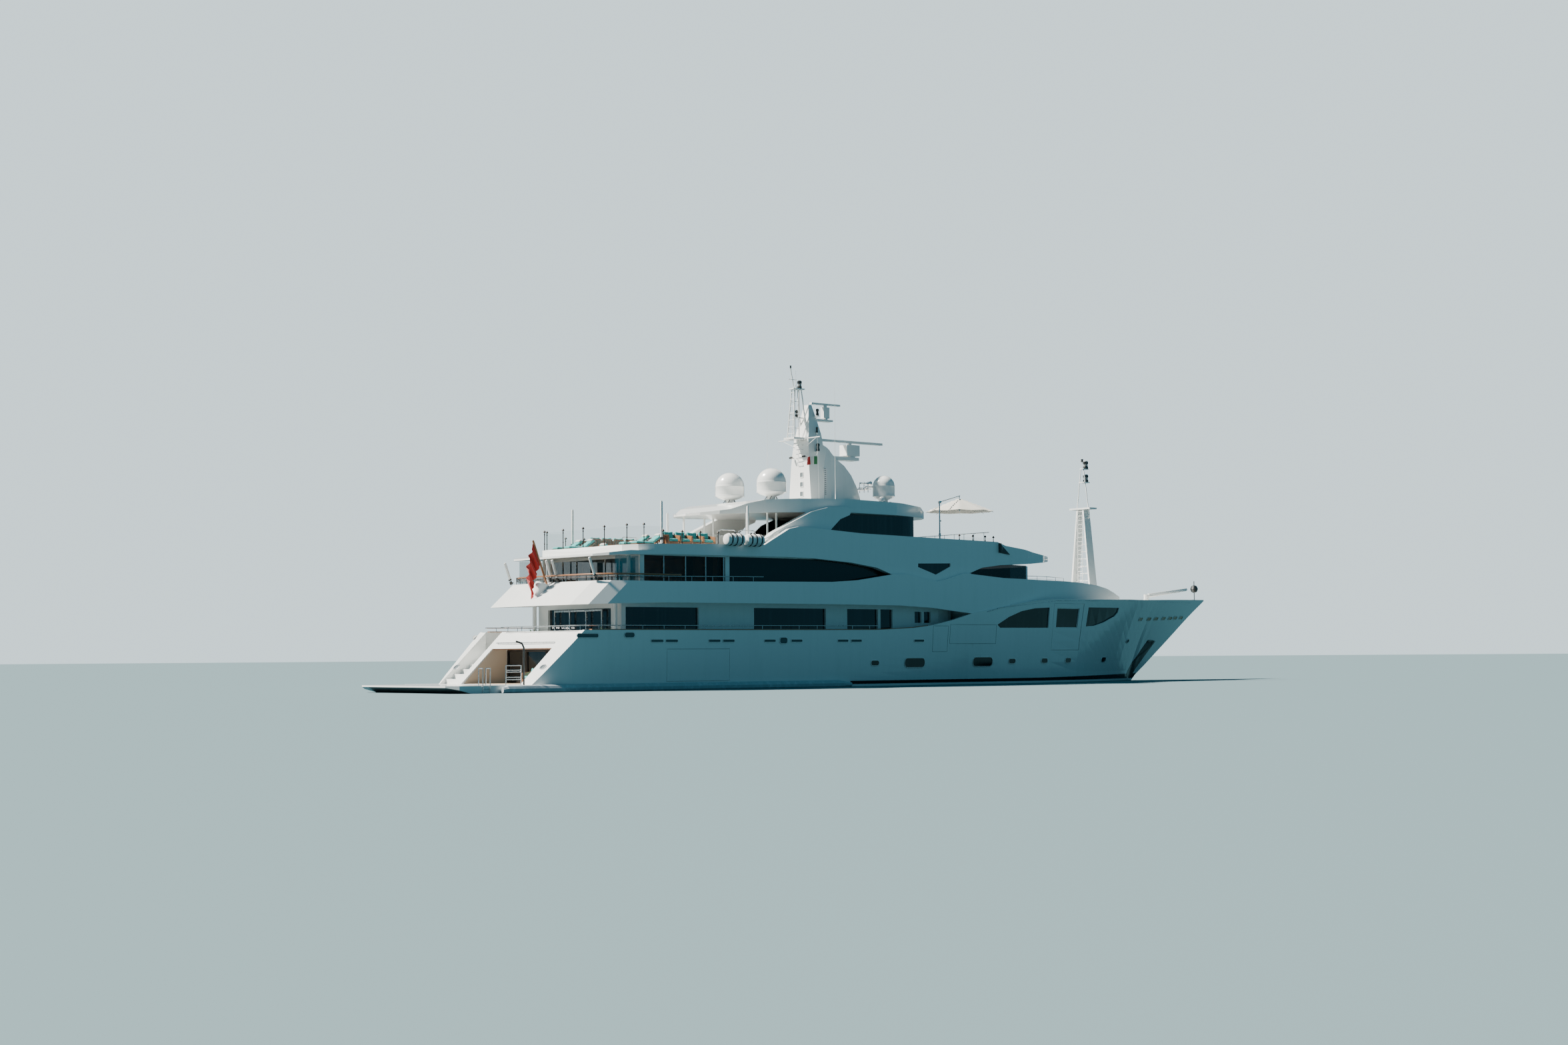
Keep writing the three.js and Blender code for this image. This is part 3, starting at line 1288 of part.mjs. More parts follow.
// A bar that follows a level or gently sloping line of [x, y, z] points, mitred at its corners
function pipe(points, radius, sides = 6) {
  const at = points.map((point) => new THREE.Vector3(...point));
  const up = new THREE.Vector3(0, 0, 1);
  const across = (a, b) => new THREE.Vector3().subVectors(b, a).cross(up).normalize();
  const rings = at.map((point, i) => {
    const before = across(at[Math.max(i - 1, 0)], at[Math.max(i, 1)]);
    const after = across(at[Math.min(i, at.length - 2)], at[Math.min(i + 1, at.length - 1)]);
    const mitre = new THREE.Vector3().addVectors(before, after).normalize();
    mitre.multiplyScalar(1 / mitre.dot(before));
    return steps(sides)
      .slice(0, -1)
      .map((t) => {
        const a = (t + 0.5 / sides) * 2 * Math.PI;
        const out = mitre.clone().multiplyScalar(radius * Math.cos(a));
        return point.clone().add(out).addScaledVector(up, radius * Math.sin(a)).toArray();
      });
  });
  return loft(rings);
}

// Rails: a top bar and posts along a plan line of [x, y] points
function railing(points, foot, head, spacing, radius = 0.025) {
  const top = pipe(
    points.map(([x, y]) => [x, y, head(x)]),
    radius,
  );
  const posts = [];
  for (let i = 0; i < points.length - 1; i++) {
    const [a, b] = [points[i], points[i + 1]];
    const count = Math.max(1, Math.round(Math.hypot(b[0] - a[0], b[1] - a[1]) / spacing));
    for (let k = 0; k < count; k++) {
      const x = a[0] + ((b[0] - a[0]) * (k + 0.5)) / count;
      const y = a[1] + ((b[1] - a[1]) * (k + 0.5)) / count;
      posts.push(bar([x, y, foot(x) + GAP], [x, y, head(x) + radius * 0.3], radius * 0.7, 5));
    }
  }
  return join(top, posts);
}
const onLine = (points) => (x) => {
  const sorted = [...points].sort((a, b) => a[0] - b[0]);
  const next = Math.max(
    sorted.findIndex(([px]) => px >= x),
    1,
  );
  const [a, b] = [sorted[next - 1], sorted[next]];
  return a[1] + ((b[1] - a[1]) * (x - a[0])) / (b[0] - a[0]);
};
const sheerZ = (x) => alongHull(x, 4);
const mainRailLine = [-7, -14, -21, -28.4].map((x) => [x, deckHalf(x) - BULWARK / 2]);
const mainRail = [
  ...mainRailLine.map(([x, y]) => [x, -y]),
  [-28.95, -4.6],
  [-28.95, 2.7],
];
node(
  "main_rail_starboard",
  railing(mainRail, sheerZ, (x) => sheerZ(x) + 0.25, 1.5),
  STEEL,
);
node(
  "main_rail_port",
  railing([...mainRailLine].reverse(), sheerZ, (x) => sheerZ(x) + 0.25, 1.5),
  STEEL,
);
const upperRailHalf = [
  [-16, 5.29],
  [-22, 5.29],
  [-25.5, 5.27],
];
const upperRailAft = [
  [-26.62, 4.7],
  [-27.22, 3.4],
];
const upperRail = [
  ...upperRailHalf.map(([x, y]) => [x, -y]),
  ...upperRailAft.map(([x, y]) => [x, -y]),
  ...[...upperRailAft].reverse(),
  ...[...upperRailHalf].reverse(),
];
const upperTop = onLine(UPPER_TOP);
node(
  "upper_rail",
  railing(upperRail, upperTop, (x) => upperTop(x) + 0.28, 1.5).subtract(upperRim),
  STEEL,
);

const sunTop = onLine(SUN_TOP.slice(11));
const sunRailHalf = [
  [-16.6, 5.12],
  [-22, 5.12],
  [-23.6, 5.12],
  [-24.5, 4.78],
];
const sunRail = [
  ...sunRailHalf.map(([x, y]) => [x, -y]),
  [-25.05, -4.0],
  [-25.1, 0],
  [-25.05, 4.0],
  ...[...sunRailHalf].reverse(),
];
node("sundeck_rail", railing(sunRail, sunTop, () => 9.1, 1.25).subtract(sunRim), STEEL);
node(
  "sundeck_screen",
  railing([[3.3, -4.6], [3.3, 4.6]], () => SUN_DECK, () => 9.75, 0.9),
  STEEL,
);

// Life rafts on the sundeck edge, two on a cradle each side
for (const [name, side] of PORT_STARBOARD) {
  const rafts = [-18.35, -16.85].map((x) =>
    join(
      bar([x - 0.68, side * 5.5, 8.62], [x + 0.68, side * 5.5, 8.62], 0.27, 10),
      block(x - 0.5, x + 0.5, side * 5.3, side * 5.62, 8.36, 8.5),
    ),
  );
  const cradle = block(-18.9, -16.3, side * (5.25 + GAP), side * 5.6, 8.14, 8.38);
  node("life_rafts_" + name, join(rafts, cradle).subtract(sunRim), WHITE);
}

// Sundeck loungers in rows on low plinths
for (const [name, side] of PORT_STARBOARD) {
  const bed = (x) =>
    sideways(
      [
        [x, 8.2],
        [x, 8.32],
        [x + 1.3, 8.32],
        [x + 1.95, 8.75],
        [x + 2.05, 8.65],
        [x + 1.45, 8.2],
      ],
      side * 2.4,
      side * 4.4,
    );
  const rows = [-24.4, -22.3, -20.2].map(bed);
  node(
    "sundeck_loungers_" + name,
    join(rows, block(-24.4, -18.9, side * 2.4, side * 4.4, SUN_DECK + GAP, 8.22)),
    TEAL,
  );
}

// Cantilever parasols on the forward sundeck: x, y of the post, reach, canopy radius
const PARASOLS = [
  ["parasol_starboard", -0.4, -3.9, 2.5, 1.95],
  ["parasol_port", -0.4, 3.9, 2.5, 1.95],
];
for (const [name, x, y, reach, r] of PARASOLS) {
  const cx = x + reach;
  node(
    name,
    join(
      bar([x, y, SUN_DECK + GAP], [x, y, 11.75], 0.05, 8),
      bar([x, y, 11.72], [cx, y, 11.95], 0.04, 8),
      turned(
        [[0, 11.2], [r * 0.98, 11.08], [r, 11.1], [r * 0.98, 11.16], [0.12, 11.6], [0.05, 12.0], [0, 12.0]],
        cx,
        y,
        8,
      ),
      block(x - 0.35, x + 0.35, y - 0.35, y + 0.35, SUN_DECK + GAP, SUN_DECK + 0.1),
    ),
    CREAM,
  );
}

export default yacht;
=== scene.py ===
"""A three-deck motor yacht afloat, dressed around its CAD solids at a scale of 1:2.

Places and sizes are written in metres of the full-size yacht, from its waterline and 30 m aft of the bow
tip, and SCALE turns them into the model's own metres. +X points to the bow, +Y to port, +Z up.
"""
import math

import bmesh
import bpy
from mathutils import Matrix, Vector


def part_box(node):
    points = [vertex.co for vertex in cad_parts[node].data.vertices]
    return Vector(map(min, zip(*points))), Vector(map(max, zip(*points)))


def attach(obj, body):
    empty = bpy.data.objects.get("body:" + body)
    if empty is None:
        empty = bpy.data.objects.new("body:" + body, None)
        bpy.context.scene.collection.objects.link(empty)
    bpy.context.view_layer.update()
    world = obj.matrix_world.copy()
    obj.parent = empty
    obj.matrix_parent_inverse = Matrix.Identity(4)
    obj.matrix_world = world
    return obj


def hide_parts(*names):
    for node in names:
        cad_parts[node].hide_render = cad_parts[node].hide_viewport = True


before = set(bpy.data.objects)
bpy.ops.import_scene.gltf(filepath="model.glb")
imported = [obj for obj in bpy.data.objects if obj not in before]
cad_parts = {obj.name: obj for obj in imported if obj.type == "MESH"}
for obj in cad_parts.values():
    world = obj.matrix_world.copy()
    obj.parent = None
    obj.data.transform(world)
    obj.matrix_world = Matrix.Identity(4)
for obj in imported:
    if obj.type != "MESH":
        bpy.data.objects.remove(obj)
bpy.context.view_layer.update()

# Driving dimensions, as in the CAD source
SCALE = 0.5
MAIN_DECK = 2.35
UPPER_DECK = 5.12
SUN_DECK = 7.9
YACHT = "yacht"
SIDES = {"starboard": -1, "port": 1}

# ---- Camera: a long lens off the starboard quarter, close above the water
CAMERA_PLACE = (-96.229, -104.19, 1.84)
VIEW_FROM_PORT_BEAM = math.radians(39.6)
CAMERA_TILT = math.radians(3.527)
CAMERA_ROLL = math.radians(0.384)


def add_camera():
    bpy.ops.object.camera_add(location=[SCALE * c for c in CAMERA_PLACE])
    camera = bpy.context.object
    camera.name = "quay_camera"
    turn = (
        Matrix.Rotation(-VIEW_FROM_PORT_BEAM, 4, "Z")
        @ Matrix.Rotation(math.pi / 2 + CAMERA_TILT, 4, "X")
        @ Matrix.Rotation(-CAMERA_ROLL, 4, "Z")
    )
    camera.rotation_euler = turn.to_euler()
    camera.data.lens = 50
    camera.data.sensor_width = 36
    camera.data.clip_end = 2000
    bpy.context.scene.camera = camera


add_camera()

# ---- Shared effects, as shader node groups


def effect(name, inputs, outputs):
    """A node group with float or colour sockets, and its input and output nodes."""
    tree = bpy.data.node_groups.new(name, "ShaderNodeTree")
    for socket, value in inputs.items():
        kind = "NodeSocketColor" if isinstance(value, tuple) else "NodeSocketFloat"
        made = tree.interface.new_socket(name=socket, in_out="INPUT", socket_type=kind)
        made.default_value = value
    for socket, kind in outputs.items():
        tree.interface.new_socket(name=socket, in_out="OUTPUT", socket_type=kind)
    start = tree.nodes.new("NodeGroupInput")
    end = tree.nodes.new("NodeGroupOutput")
    return tree, start, end


def add(tree, kind, **settings):
    """A node with its properties set. Keys that start with in_ are inputs."""
    node = tree.nodes.new("ShaderNode" + kind)
    for key, value in settings.items():
        if key.startswith("in_"):
            feed(node, **{key[3:]: value})
        else:
            setattr(node, key, value)
    return node


def link(source, target):
    source.id_data.links.new(source, target)


def feed(node, **sockets):
    """Sockets or plain values put into a node's inputs, by name or, after an underscore, by number."""
    for key, value in sockets.items():
        socket = node.inputs[int(key[1:]) if key[1:].isdigit() else key.replace("_", " ")]
        if hasattr(value, "is_output"):
            link(value, socket)
        else:
            socket.default_value = value
    return node


def tree_of(*values):
    return next(value.id_data for value in values if hasattr(value, "is_output"))


def calc(operation, a, b=None, c=None):
    """A Math node on sockets or numbers, as its output socket."""
    node = add(tree_of(a, b), "Math", operation=operation)
    given = {f"_{slot}": value for slot, value in enumerate((a, b, c)) if value is not None}
    return feed(node, **given).outputs[0]


def blend_colours(factor, a, b):
    """A colour Mix node on sockets or colours, as its output socket."""
    return feed(add(tree_of(factor), "Mix", data_type="RGBA"), _0=factor, _6=a, _7=b).outputs[2]


def place(tree, scale=(1, 1, 1)):
    """Object coordinates through a Mapping node, as its output socket."""
    where = add(tree, "TexCoord").outputs["Object"]
    return add(tree, "Mapping", in_Scale=scale, in_Vector=where).outputs["Vector"]


def axes(tree):
    """The X, Y and Z of Object coordinates, as output sockets."""
    where = add(tree, "TexCoord").outputs["Object"]
    return add(tree, "SeparateXYZ", in__0=where).outputs


def noise(where, scale, detail=3.0, roughness=0.5):
    node = add(
        where.id_data, "TexNoise", in_Scale=scale, in_Detail=detail, in_Roughness=roughness, in_Vector=where,
    )
    return node.outputs["Fac"]


def spread_range(value, low, high, to_low, to_high):
    node = add(value.id_data, "MapRange", in__0=value, in__1=low, in__2=high, in__3=to_low, in__4=to_high)
    return node.outputs[0]


def build_salt_haze():
    """Colour that drifts a little over metres, with rain streaks down the sides and salt spots."""
    tree, start, end = effect(
        "Salt haze",
        {"Colour": (0.8, 0.8, 0.8, 1), "Dirt": (0.4, 0.38, 0.33, 1), "Amount": 0.15, "Gloss": 0.25},
        {"Colour": "NodeSocketColor", "Roughness": "NodeSocketFloat"},
    )
    drift = noise(place(tree), 0.35, 4)
    streaks = noise(place(tree, (3.0, 3.0, 0.25)), 1.8, 5, 0.65)
    spots = noise(place(tree), 22.0, 2)
    fine = calc("MULTIPLY", spread_range(spots, 0.55, 0.8, 0, 1), 0.35)
    worn = calc("MULTIPLY", spread_range(streaks, 0.48, 0.85, 0, 1), 0.8)
    both = calc("ADD", calc("ADD", fine, worn), calc("MULTIPLY", drift, 0.35))
    mask = calc("MULTIPLY", both, start.outputs["Amount"])
    feed(
        end,
        Colour=blend_colours(mask, start.outputs["Colour"], start.outputs["Dirt"]),
        Roughness=calc("MULTIPLY_ADD", mask, 0.6, start.outputs["Gloss"]),
    )
    return tree


def build_orange_peel():
    """The fine unevenness of sprayed paint over faired plating."""
    tree, start, end = effect(
        "Orange peel", {"Grain": 60.0, "Fairing": 0.5}, {"Height": "NodeSocketFloat"}
    )
    grain = add(tree, "TexNoise", in_Detail=2.0, in_Vector=place(tree), in_Scale=start.outputs["Grain"])
    fairing = noise(place(tree, (0.4, 1, 1)), 0.9, 1)
    fine = calc("MULTIPLY", grain.outputs["Fac"], 0.04)
    feed(end, Height=calc("MULTIPLY_ADD", fairing, start.outputs["Fairing"], fine))
    return tree


def build_laid_planks():
    """Fore-and-aft planks with black caulking: each plank's tone, and a groove at its edges."""
    tree, start, end = effect(
        "Laid planks",
        {"Width": 0.06, "Length": 2.2, "Seam": 0.09},
        {"Tone": "NodeSocketFloat", "Seam": "NodeSocketFloat", "Grain": "NodeSocketFloat"},
    )
    x, y, _ = axes(tree)
    across = calc("DIVIDE", y, start.outputs["Width"])
    row = calc("FLOOR", across)
    side = calc("ABSOLUTE", calc("SUBTRACT", calc("FRACT", across), 0.5))
    offset = calc("FRACT", calc("MULTIPLY", row, 0.618))
    along = calc("ADD", calc("DIVIDE", x, start.outputs["Length"]), offset)
    butt = calc("ABSOLUTE", calc("SUBTRACT", calc("FRACT", along), 0.5))
    edge = calc("SUBTRACT", 0.5, start.outputs["Seam"])
    seam = calc("MAXIMUM", calc("GREATER_THAN", side, edge), calc("GREATER_THAN", butt, 0.498))
    cell = add(tree, "CombineXYZ", in_X=row, in_Y=calc("FLOOR", along)).outputs[0]
    tone = add(tree, "TexWhiteNoise", noise_dimensions="3D", in_Vector=cell).outputs["Value"]
    feed(end, Seam=seam, Tone=tone, Grain=noise(place(tree, (2, 40, 40)), 3.0, 6, 0.7))
    return tree


def build_woven_cloth():
    """Plain weave from the piece's own place: thread height, and a slub that varies the colour."""
    tree, start, end = effect(
        "Woven cloth", {"Threads": 260.0}, {"Height": "NodeSocketFloat", "Slub": "NodeSocketFloat"}
    )
    heights = []
    for axis in ("X", "Y"):
        wave = add(
            tree, "TexWave", bands_direction=axis, in_Distortion=0.4, in_Detail=1.0, in_Vector=place(tree),
        )
        heights.append(feed(wave, Scale=start.outputs["Threads"]).outputs["Fac"])
    feed(end, Height=calc("MAXIMUM", *heights), Slub=noise(place(tree, (1, 8, 8)), 12.0, 4, 0.6))
    return tree


def build_brushed():
    """Long fine scratches and water marks on polished metal."""
    tree, start, end = effect(
        "Brushed metal", {"Gloss": 0.22, "Marks": 0.15}, {
            "Roughness": "NodeSocketFloat", "Height": "NodeSocketFloat",
        }
    )
    hair = noise(place(tree, (4, 90, 90)), 6.0, 4, 0.6)
    marks = noise(place(tree), 7.0, 4)
    feed(
        end, Height=hair,
        Roughness=calc("MULTIPLY_ADD", marks, start.outputs["Marks"], start.outputs["Gloss"]),
    )
    return tree


SALT_HAZE = build_salt_haze()
ORANGE_PEEL = build_orange_peel()
LAID_PLANKS = build_laid_planks()
WOVEN_CLOTH = build_woven_cloth()
BRUSHED = build_brushed()


# ---- Finishes


def finish_named(name, **sockets):
    """A material with its shader's plain sockets set, as (tree, shader, material)."""
    made = bpy.data.materials.new(name)
    made.use_nodes = True
    return made.node_tree, feed(made.node_tree.nodes["Principled BSDF"], **sockets), made


def group(tree, effect_tree, **sockets):
    return feed(add(tree, "Group", node_tree=effect_tree), **sockets)


def bump(shader, height, strength, distance):
    node = add(height.id_data, "Bump", in_Strength=strength, in_Distance=distance, in_Height=height)
    link(node.outputs["Normal"], shader.inputs["Normal"])


def paint(name, colour, gloss=0.22, amount=0.1, fairing=0.5, dirt=(0.42, 0.4, 0.34, 1)):
    """Sprayed gloss paint with a clear coat, hazed by salt."""
    tree, shader, made = finish_named(name, Coat_Weight=0.5, Coat_Roughness=0.06, IOR=1.5)
    haze = group(tree, SALT_HAZE, Colour=colour, Dirt=dirt, Amount=amount, Gloss=gloss)
    feed(shader, Base_Color=haze.outputs["Colour"], Roughness=haze.outputs["Roughness"])
    peel = group(tree, ORANGE_PEEL, Fairing=fairing)
    bump(shader, peel.outputs["Height"], 0.12, 0.01)
    return made


def metal(name, colour, gloss=0.2, marks=0.15):
    """Polished metal with fine scratches."""
    tree, shader, made = finish_named(name, Base_Color=colour, Metallic=1.0)
    brushed = group(tree, BRUSHED, Gloss=gloss, Marks=marks)
    feed(shader, Roughness=brushed.outputs["Roughness"])
    tint = blend_colours(noise(place(tree), 9.0, 3), colour, [c * 0.8 for c in colour[:3]] + [1])
    feed(shader, Base_Color=tint)
    bump(shader, brushed.outputs["Height"], 0.05, 0.001)
    return made


def tinted_glass(name, colour, deep, gloss=0.05):
    """Near-black glazing that still shows drawn blinds a shade lighter inside."""
    tree, shader, made = finish_named(name, IOR=1.52, Coat_Weight=0.6, Coat_Roughness=0.02)
    folds = noise(place(tree, (5, 5, 0.15)), 1.6, 3)
    mask = spread_range(folds, 0.5, 0.75, 0, 1)
    feed(shader, Base_Color=blend_colours(mask, deep, colour))
    smear = noise(place(tree), 2.5, 5)
    feed(shader, Roughness=calc("MULTIPLY_ADD", smear, 0.06, gloss))
    return made


def cloth(name, colour, darker, threads=260.0, sheen=0.3, rough=0.85):
    """Woven outdoor cloth."""
    tree, shader, made = finish_named(name, Roughness=rough, Sheen_Weight=sheen, Sheen_Roughness=0.5)
    weave = group(tree, WOVEN_CLOTH, Threads=threads)
    feed(shader, Base_Color=blend_colours(weave.outputs["Slub"], colour, darker))
    bump(shader, weave.outputs["Height"], 0.25, 0.0015)
    return made


def teak(name, new, grey, width=0.03, seam=0.09):
    """Laid teak deck, part weathered."""
    tree, shader, made = finish_named(name)
    planks = group(tree, LAID_PLANKS, Width=width, Length=1.2, Seam=seam)
    worn = noise(place(tree), 0.8, 4)
    tone = calc("MULTIPLY_ADD", planks.outputs["Tone"], 0.45, calc("MULTIPLY", worn, 0.6))
    wood = blend_colours(tone, new, grey)
    grained = blend_colours(
        spread_range(planks.outputs["Grain"], 0.4, 0.8, 0, 0.45), wood, (0.16, 0.09, 0.045, 1),
    )
    feed(
        shader, Base_Color=blend_colours(planks.outputs["Seam"], grained, (0.012, 0.012, 0.013, 1)),
        Roughness=calc("MULTIPLY_ADD", planks.outputs["Tone"], 0.12, 0.5),
    )
    height = calc("SUBTRACT", calc("MULTIPLY", planks.outputs["Grain"], 0.2), planks.outputs["Seam"])
    bump(shader, height, 0.35, 0.002)
    return made


def varnished(name, colour, dark):
    """Varnished joinery with its grain along the piece."""
    tree, shader, made = finish_named(name, Coat_Weight=0.8, Coat_Roughness=0.05, Roughness=0.35)
    grain = noise(place(tree, (3, 30, 30)), 2.5, 7, 0.65)
    feed(
        shader, Base_Color=blend_colours(spread_range(grain, 0.35, 0.75, 0, 1), colour, dark),
        Roughness=spread_range(grain, 0, 1, 0.25, 0.45),
    )
    bump(shader, grain, 0.08, 0.001)
    return made


def rubber(name, colour, rough=0.6):
    """Moulded rubber or textured plastic, scuffed paler."""
    tree, shader, made = finish_named(name)
    scuff = noise(place(tree, (1, 1, 1)), 6.0, 6, 0.7)
    pale = [min(1, c * 1.6 + 0.02) for c in colour[:3]] + [1]
    feed(
        shader, Base_Color=blend_colours(spread_range(scuff, 0.5, 0.8, 0, 0.7), colour, pale),
        Roughness=spread_range(scuff, 0, 1, rough - 0.1, rough + 0.15),
    )
    bump(shader, noise(place(tree), 120.0, 2), 0.15, 0.001)
    return made


# Waterline marks on the hull
STRIPE = {"low": 0.16, "high": 0.36, "bow_low": 0.16, "bow_high": 0.5, "start": -9.3}
BOOT_BLACK = (0.008, 0.01, 0.012, 1)
ANTIFOULING = (0.035, 0.05, 0.07, 1)
CREAM_WHITE = (0.83, 0.84, 0.82, 1)


def hull_paint():
    """The white topsides, the black stripe that rises to the bow, and the antifouling under the water."""
    tree, shader, made = finish_named("Hull topsides", Coat_Weight=0.6, Coat_Roughness=0.05, IOR=1.5)
    haze = group(tree, SALT_HAZE, Colour=CREAM_WHITE, Amount=0.1, Gloss=0.18)
    x, _, z = axes(tree)
    top = spread_range(x, 8 * SCALE, 22 * SCALE, STRIPE["high"] * SCALE, STRIPE["bow_high"] * SCALE)
    black = calc("MULTIPLY", calc("GREATER_THAN", z, STRIPE["low"] * SCALE), calc("LESS_THAN", z, top))
    black = calc("MULTIPLY", black, calc("GREATER_THAN", x, STRIPE["start"] * SCALE))
    painted = blend_colours(black, haze.outputs["Colour"], BOOT_BLACK)
    under = calc("LESS_THAN", z, 0.02 * SCALE)
    fouled = blend_colours(noise(place(tree), 1.4, 6), ANTIFOULING, (0.02, 0.03, 0.04, 1))
    feed(shader, Base_Color=blend_colours(under, painted, fouled))
    rough = calc("ADD", haze.outputs["Roughness"], calc("MULTIPLY", under, 0.45))
    feed(shader, Roughness=rough)
    peel = group(tree, ORANGE_PEEL, Fairing=0.6)
    bump(shader, peel.outputs["Height"], 0.12, 0.01)
    return made


def half_clear_glazing(name, tint, limit, solid, beyond=1.0):
    """Tinted glazing seen through on one side of an X station, and as good as black beyond it."""
    tree, shader, made = finish_named(name, IOR=1.5)
    smear = noise(place(tree), 3.0, 4)
    feed(
        shader, Base_Color=blend_colours(smear, tint, [c * 0.8 for c in tint[:3]] + [1]),
        Roughness=calc("MULTIPLY_ADD", smear, 0.04, 0.02),
    )
    past = calc("GREATER_THAN", axes(tree)[0], limit * SCALE)
    feed(shader, Alpha=calc("MULTIPLY_ADD", past, beyond - solid, solid))
    return made


HULL_TOPSIDES = hull_paint()
WHITE_PAINT = paint("Superstructure white", CREAM_WHITE)
BEIGE_PAINT = paint("Beach club beige", (0.55, 0.47, 0.38, 1), gloss=0.4)
GREY_PAINT = paint("Grey machinery paint", (0.32, 0.35, 0.37, 1), gloss=0.35)
# Black paint for lamps, poles and brackets, also laid flat on the bow as painted shade for the anchor
# pocket's recess
BLACK_PAINT_AND_POCKET_SHADE = paint("Black paint and painted pocket shade", (0.012, 0.014, 0.015, 1), gloss=0.3, amount=0.2)
DARK_GLASS = tinted_glass("Dark window glass", (0.022, 0.026, 0.028, 1), (0.004, 0.006, 0.007, 1))
BRIDGE_GLASS = half_clear_glazing("Bridge glazing", (0.012, 0.02, 0.022, 1), 0.9, 1.0, 0.86)
LOUNGE_GLASS = half_clear_glazing("Lounge glazing", (0.012, 0.02, 0.022, 1), -18.2, 0.42)
STAINLESS = metal("Polished stainless", (0.68, 0.7, 0.71, 1))
BRONZE = metal("Propeller bronze", (0.62, 0.42, 0.2, 1), 0.28, 0.25)
TUBE_GREY = rubber("Grey rub tube", (0.42, 0.47, 0.5, 1), 0.5)
BLACK_RUBBER = rubber("Black rubber", (0.015, 0.016, 0.017, 1))
DECK_TEAK = teak("Laid teak", (0.48, 0.31, 0.17, 1), (0.46, 0.4, 0.32, 1))
VARNISH = varnished("Varnished teak", (0.36, 0.15, 0.055, 1), (0.17, 0.06, 0.02, 1))
TURQUOISE = cloth("Turquoise cushion cloth", (0.06, 0.46, 0.43, 1), (0.04, 0.36, 0.36, 1))
SEAM_BLACK = rubber("Seam sealant", (0.02, 0.022, 0.024, 1))
OPENING_SHADE = rubber("Shade inside the openings", (0.1, 0.13, 0.14, 1), 0.8)
WARM_TIMBER = varnished("Warm lining timber", (0.5, 0.3, 0.12, 1), (0.3, 0.16, 0.05, 1))


def clear_glass(name, tint, rough=0.02, solid=0.16):
    """Clear glazing with a little smear, mostly seen through."""
    tree, shader, made = finish_named(name, IOR=1.45, Alpha=solid)
    smear = noise(place(tree), 3.0, 4)
    darker = [c * 0.93 for c in tint[:3]] + [1]
    feed(
        shader, Base_Color=blend_colours(smear, tint, darker),
        Roughness=calc("MULTIPLY_ADD", smear, 0.04, rough),
    )
    return made


def leaves(name):
    """Clipped foliage in broken greens."""
    tree, shader, made = finish_named(name, Roughness=0.6)
    patch = noise(place(tree), 26.0, 3)
    shade = spread_range(patch, 0.35, 0.65, 0, 1)
    feed(shader, Base_Color=blend_colours(shade, (0.03, 0.09, 0.02, 1), (0.11, 0.22, 0.05, 1)))
    bump(shader, noise(place(tree), 70.0, 2), 0.5, 0.004)
    return made


DARK_BRONZE = metal("Dark bronze fittings", (0.085, 0.075, 0.07, 1), 0.38, 0.25)
FLAG_RED = cloth("Red bunting", (0.52, 0.018, 0.012, 1), (0.38, 0.012, 0.01, 1), 150, 0.2)
FLAG_GREEN = cloth("Green bunting", (0.02, 0.2, 0.06, 1), (0.015, 0.14, 0.04, 1), 150, 0.2)
PARASOL_CLOTH = cloth("Cream parasol canvas", (0.66, 0.63, 0.56, 1), (0.58, 0.55, 0.48, 1), 120)
PALE_CLOTH = cloth("Off-white cushion cloth", (0.68, 0.67, 0.63, 1), (0.6, 0.58, 0.54, 1), 160)
CURTAIN = cloth("Brown window curtain", (0.16, 0.12, 0.09, 1), (0.1, 0.075, 0.055, 1), 90)
SCREEN_GLASS = clear_glass("Balustrade glass", (0.1, 0.2, 0.2, 1), solid=0.06)
BLUE_GLASS = clear_glass("Windscreen glass", (0.12, 0.4, 0.45, 1), solid=0.35)
FOLIAGE = leaves("Box hedge leaves")
LAMP_GLASS = tinted_glass("Lamp lens", (0.25, 0.27, 0.28, 1), (0.12, 0.13, 0.14, 1), 0.1)


# ---- The CAD nodes keep their shapes and get their finishes


# Names that end in _ are there on both sides
NODE_FINISHES = (
    (HULL_TOPSIDES, "hull shell_door_ balcony_door_ rudder_ stabiliser_fin_"),
    (DARK_GLASS, "hull_eye_window_ hull_bow_window_ triangle_window_ beach_club_doors main_deck_glass"),
    (DARK_GLASS, "sundeck_house_glass"),
    (BRIDGE_GLASS, "bridge_glass"),
    (LOUNGE_GLASS, "upper_deck_glass"),
    (TUBE_GREY, "rub_tube_"),
    (BRONZE, "propeller_"),
    (STAINLESS, "propeller_shaft_ main_rail_ swim_ladder stern_rail upper_rail sundeck_rail sundeck_screen"),
    (BLACK_PAINT_AND_POCKET_SHADE, "stern_pole jackstaff"),
    (VARNISH, "flagstaff"),
)


def finish(node_name, material):
    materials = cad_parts[node_name].data.materials
    materials.clear()
    materials.append(material)


for node_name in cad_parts:
    finish(node_name, WHITE_PAINT)
for material, names in NODE_FINISHES:
    for name in names.split():
        for node_name in [name + side for side in SIDES] if name.endswith("_") else [name]:
            finish(node_name, material)


# ---- Modelling by hand: a primitive, shaped in edit mode, finished with modifiers


def clear():
    bpy.ops.object.select_all(action="DESELECT")


def spot(*ship):
    """Full-size metres as a point of the model."""
    return Vector([SCALE * value for value in ship])


def make_active(piece):
    clear()
    piece.select_set(True)
    bpy.context.view_layer.objects.active = piece


def begin(piece, mode="FACE"):
    """Edit mode with nothing selected, as the mesh to pick from."""
    make_active(piece)
    bpy.ops.object.mode_set(mode="EDIT")
    bpy.ops.mesh.select_mode(type=mode)
    bpy.ops.mesh.select_all(action="DESELECT")
    return bmesh.from_edit_mesh(piece.data)


def pick(piece, mesh, elements, test):
    for element in elements:
        if test(element):
            element.select_set(True)
    mesh.select_flush_mode()
    bmesh.update_edit_mesh(piece.data)


